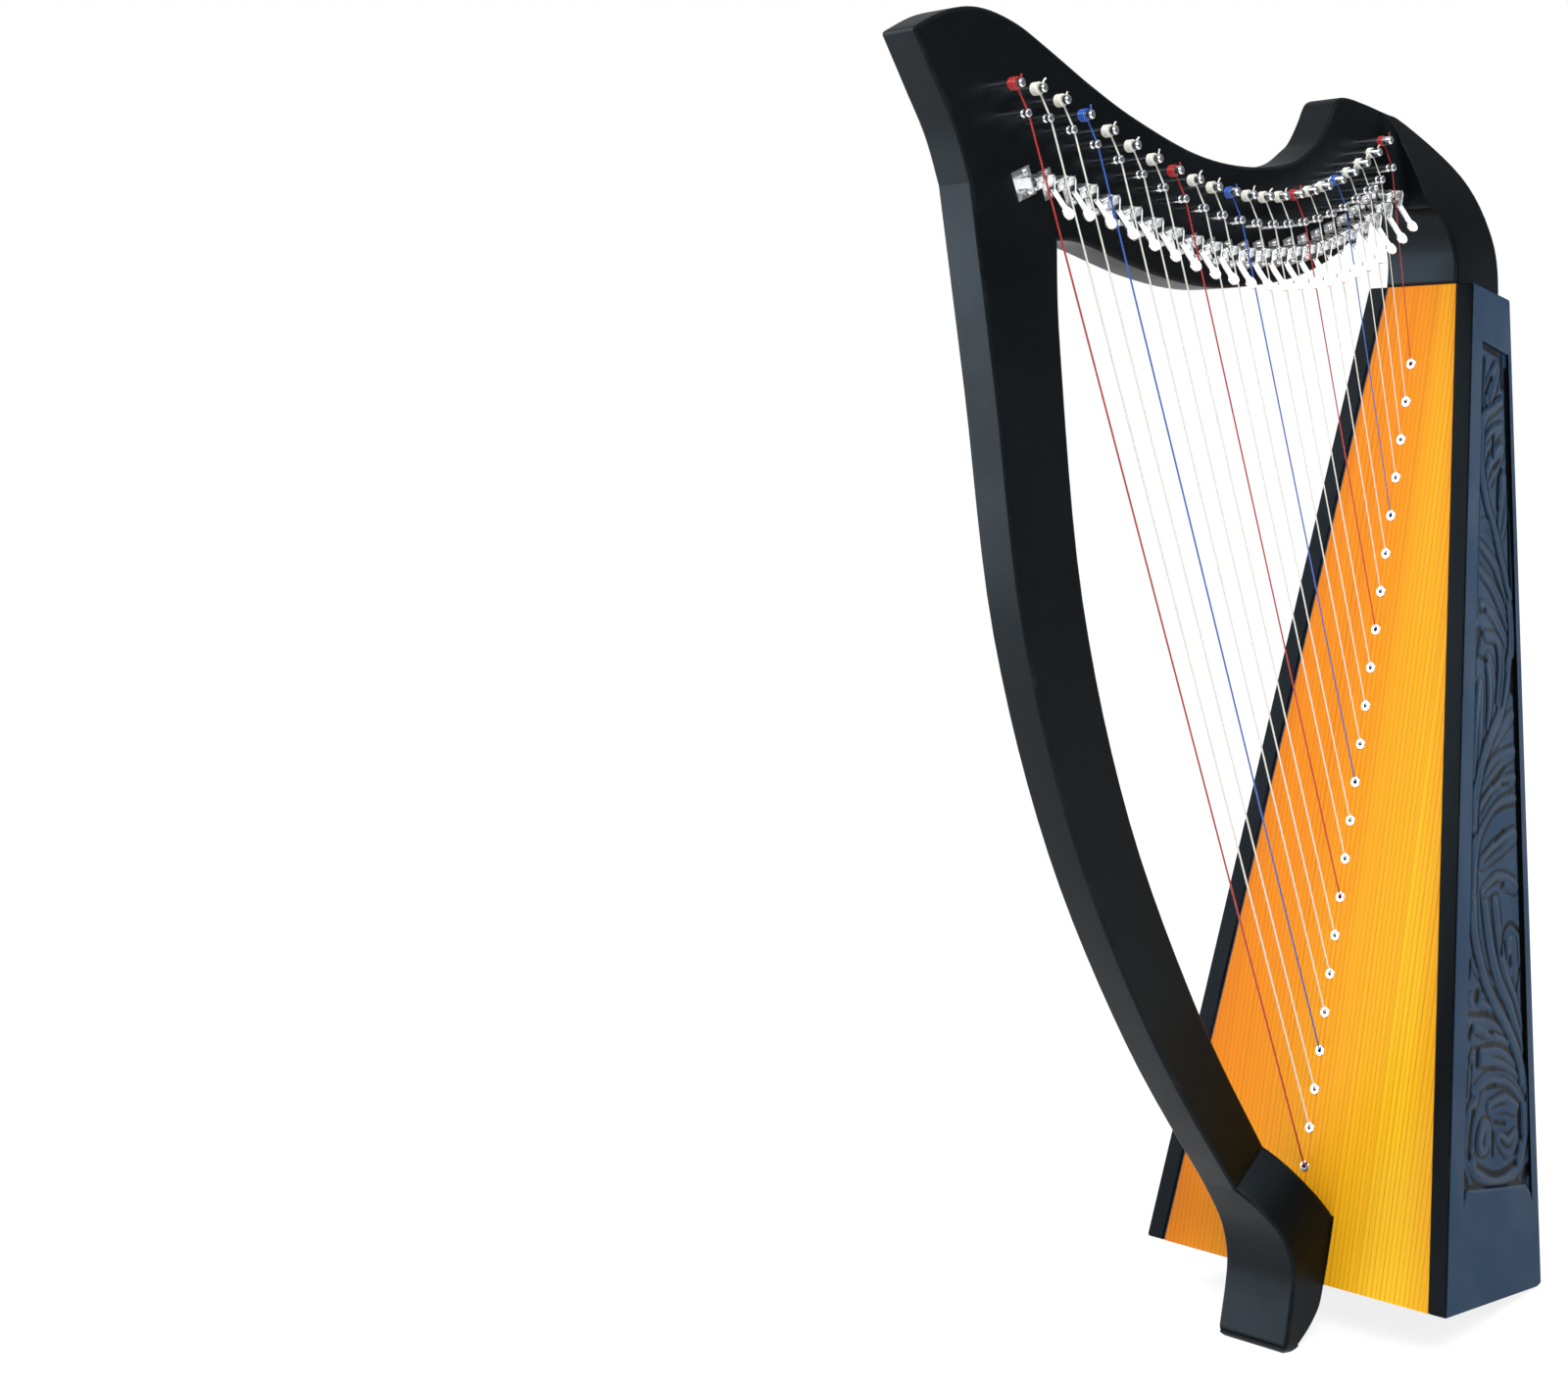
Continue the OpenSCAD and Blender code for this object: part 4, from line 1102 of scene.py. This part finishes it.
def carvedHeights(s, lowWidth, highWidth, length, depth):
    share, rise = np.meshgrid(np.linspace(0, 1, s["across"]), np.linspace(0, length, s["along"]))
    width = lowWidth + (highWidth - lowWidth) * rise / length
    field = ((share - 0.5) * width * s["squeeze"], rise, lowWidth, highWidth, length)
    height = np.full(share.shape, s["body"])
    scoopEnd, scoopWall = s["scoopReach"]
    veinShare, veinLeast = s["veinHalf"]
    grooveDeep, groovePlace, grooveHalf = s["stemGroove"]
    for kind, points, halves, top in strokes:
        near, gap, along, hand = strokeGap(points, s, field, max(halves) + s["trench"] + s["spare"][0])
        half = np.interp(along, [0, 0.5, 1], halves)
        best = np.argmin(gap / half[None], axis=1)
        rows = np.arange(len(best))
        d, w = gap[rows, best], half[best]
        q = d / w
        slope = 1 - s["tilt"] * (1 + q * hand[rows, best]) / 2
        crown = np.clip(1 - q ** 4, 0, 1) ** 0.5 * top * s["top"] * slope
        if kind == "leaf":
            crown -= s["scoop"] * s["top"] * ease((scoopEnd - q) / scoopWall)
            vein = s["vein"] * ease(s["cutEnd"] - d / (veinShare * w + veinLeast))
            crown -= vein * ease(s["cutEnd"] - along[best])
        else:
            groove = ease(s["cutEnd"] - np.abs(d - groovePlace * w) / grooveHalf)
            crown -= grooveDeep * s["vein"] * groove
        under = height[near] * (s["trenchLeft"] + (1 - s["trenchLeft"]) * ease((d - w) / s["trench"]))
        height[near] = np.where(q < 1, np.maximum(crown, under), under)
    wallFrom, wallShare, wallLeast = s["pocketWall"]
    for points, half in pockets:
        near, gap = strokeGap(points, s, field, half + s["spare"][1])[:2]
        height[near] *= ease((gap.min(axis=1) - wallFrom * half) / (wallShare * half + wallLeast))
    rng = np.random.default_rng(s["seed"])
    stipple = ease(1 - height / s["stippleBelow"]) * s["stipple"] * rng.random(height.shape)
    height = blurred(height, s["blurSteps"]) + stipple
    tall, flatPart, drop = s["plate"]
    plateTop = tall - drop * np.clip((np.abs(share - 0.5) - flatPart) / (0.5 - flatPart), 0, 1) ** 2
    fieldWall, plateWall = s["plateWall"]
    height *= ease((rise - plateTop) / fieldWall)
    plate = depth * ease((plateTop - rise) / plateWall + 0.5)
    height = np.minimum(np.maximum(height, plate), depth)
    # the relief's shading for the paint: positive on ridges, for rubbed wear and a painted highlight,
    # negative in hollows and low in the field, for painted shade
    lowShadeShare, lowShadeBelow = s["reliefLowShade"]
    reliefShading = np.clip((height - blurred(height, s["reliefBlur"])) / s["reliefFull"], -1, 1)
    reliefShading -= lowShadeShare * ease(1 - height / lowShadeBelow)
    reliefShading[rise < plateTop - 1] *= s["reliefPlate"]
    return height, reliefShading


def fieldOf(nodeName, side, s):
    faces = [f for f in nodes[nodeName].data.polygons if f.normal.y * side > s["facing"]]
    out = sum((f.normal * f.area for f in faces), Vector()).normalized()
    levels = [f.center.dot(out) for f in faces]
    face = max(levels)
    floor = [f for f, at in zip(faces, levels) if s["sunk"][0] < face - at < s["sunk"][1]]
    points = {}
    for f in floor:
        for k in f.vertices:
            p = nodes[nodeName].data.vertices[k].co
            points[tuple(round(c, 5) for c in p)] = p.copy()
    ordered = sorted(points.values(), key=lambda p: p.dot(rowUp))
    low = sorted(ordered[:2], key=lambda p: p.x)
    high = sorted(ordered[-2:], key=lambda p: p.x)
    return low, high, out, face - sum(p.dot(out) for p in ordered) / len(ordered)


def makeCarving(nodeName, side, s):
    low, high, out, depth = fieldOf(nodeName, side, s)
    inward = (low[1] - low[0]).normalized() * s["wallGap"]
    up = rowUp * s["wallGap"]
    low = [low[0] + inward + up, low[1] - inward + up]
    high = [high[0] + inward - up, high[1] - inward - up]
    lowWidth, highWidth = [(p[1] - p[0]).length / mm for p in (low, high)]
    length = ((high[0] + high[1]) / 2 - (low[0] + low[1]) / 2).dot(rowUp) / mm
    height, reliefShading = carvedHeights(s, lowWidth, highWidth, length, depth / mm)
    rows, cols = height.shape
    x, y = np.linspace(0, 1, cols)[None, :, None], np.linspace(0, 1, rows)[:, None, None]
    corner = [np.array(p)[None, None, :] for p in low + high]
    ground = (corner[0] * (1 - x) + corner[1] * x) * (1 - y) + (corner[2] * (1 - x) + corner[3] * x) * y
    lift = np.array((0, side / abs(out.y), 0))[None, None, :]
    top = (ground + lift * height[:, :, None] * mm).reshape(-1, 3)
    number = np.arange(rows * cols).reshape(rows, cols)
    rim = np.concatenate([number[0, :], number[1:, -1], number[-1, -2::-1], number[-2:0:-1, 0]])
    skirt = ground.reshape(-1, 3)[rim] - lift[0] * s["skirt"]
    quads = np.stack([number[:-1, :-1], number[:-1, 1:], number[1:, 1:], number[1:, :-1]], -1).reshape(-1, 4)
    faces = [tuple(q) for q in quads.tolist()]
    ring = list(range(rows * cols, rows * cols + len(rim)))
    for k in range(len(rim)):
        n = (k + 1) % len(rim)
        faces.append((int(rim[n]), int(rim[k]), ring[k], ring[n]))
    faces.append(tuple(reversed(ring)))
    if side > 0:
        faces = [tuple(reversed(f)) for f in faces]
    name = nodeName + "_carving"
    mesh = smoothMesh(name, np.concatenate([top, skirt]).tolist(), faces, s["bend"])
    # the relief's painted highlight and shade go on the mesh as an attribute
    values = np.concatenate([reliefShading.reshape(-1), np.zeros(len(rim))])
    mesh.attributes.new("reliefShading", "FLOAT", "POINT").data.foreach_set("value", values.astype(np.float32))
    addPiece(name, mesh, "frame", "slate")
    lowEdge, floorOut = low[0].dot(rowUp), low[0].dot(out)

    def atPlate(point):
        return abs(point.dot(rowUp) - lowEdge) < s["plateReach"] and point.dot(out) > floorOut - mm

    panel = easedCopy(nodeName, easeSet["panel"], "slate",
                      ["soundboard", "neck", "base_panel", "back_panel", "top_block"], atPlate)
    panel.data.materials.append(finishes["edge"])
    for f in panel.data.polygons:
        f.material_index = 1 if f.normal.dot(boardOut) > s["edgeFacing"] else 0
    sizes = [round(x, 1) for x in (lowWidth, highWidth, length)]
    print(nodeName, "field", *sizes, "deep", round(depth / mm, 2))


for name in ("left_side_panel", "right_side_panel"):
    makeCarving(name, 1 if middleOf(name).y > 0 else -1, carveSet)
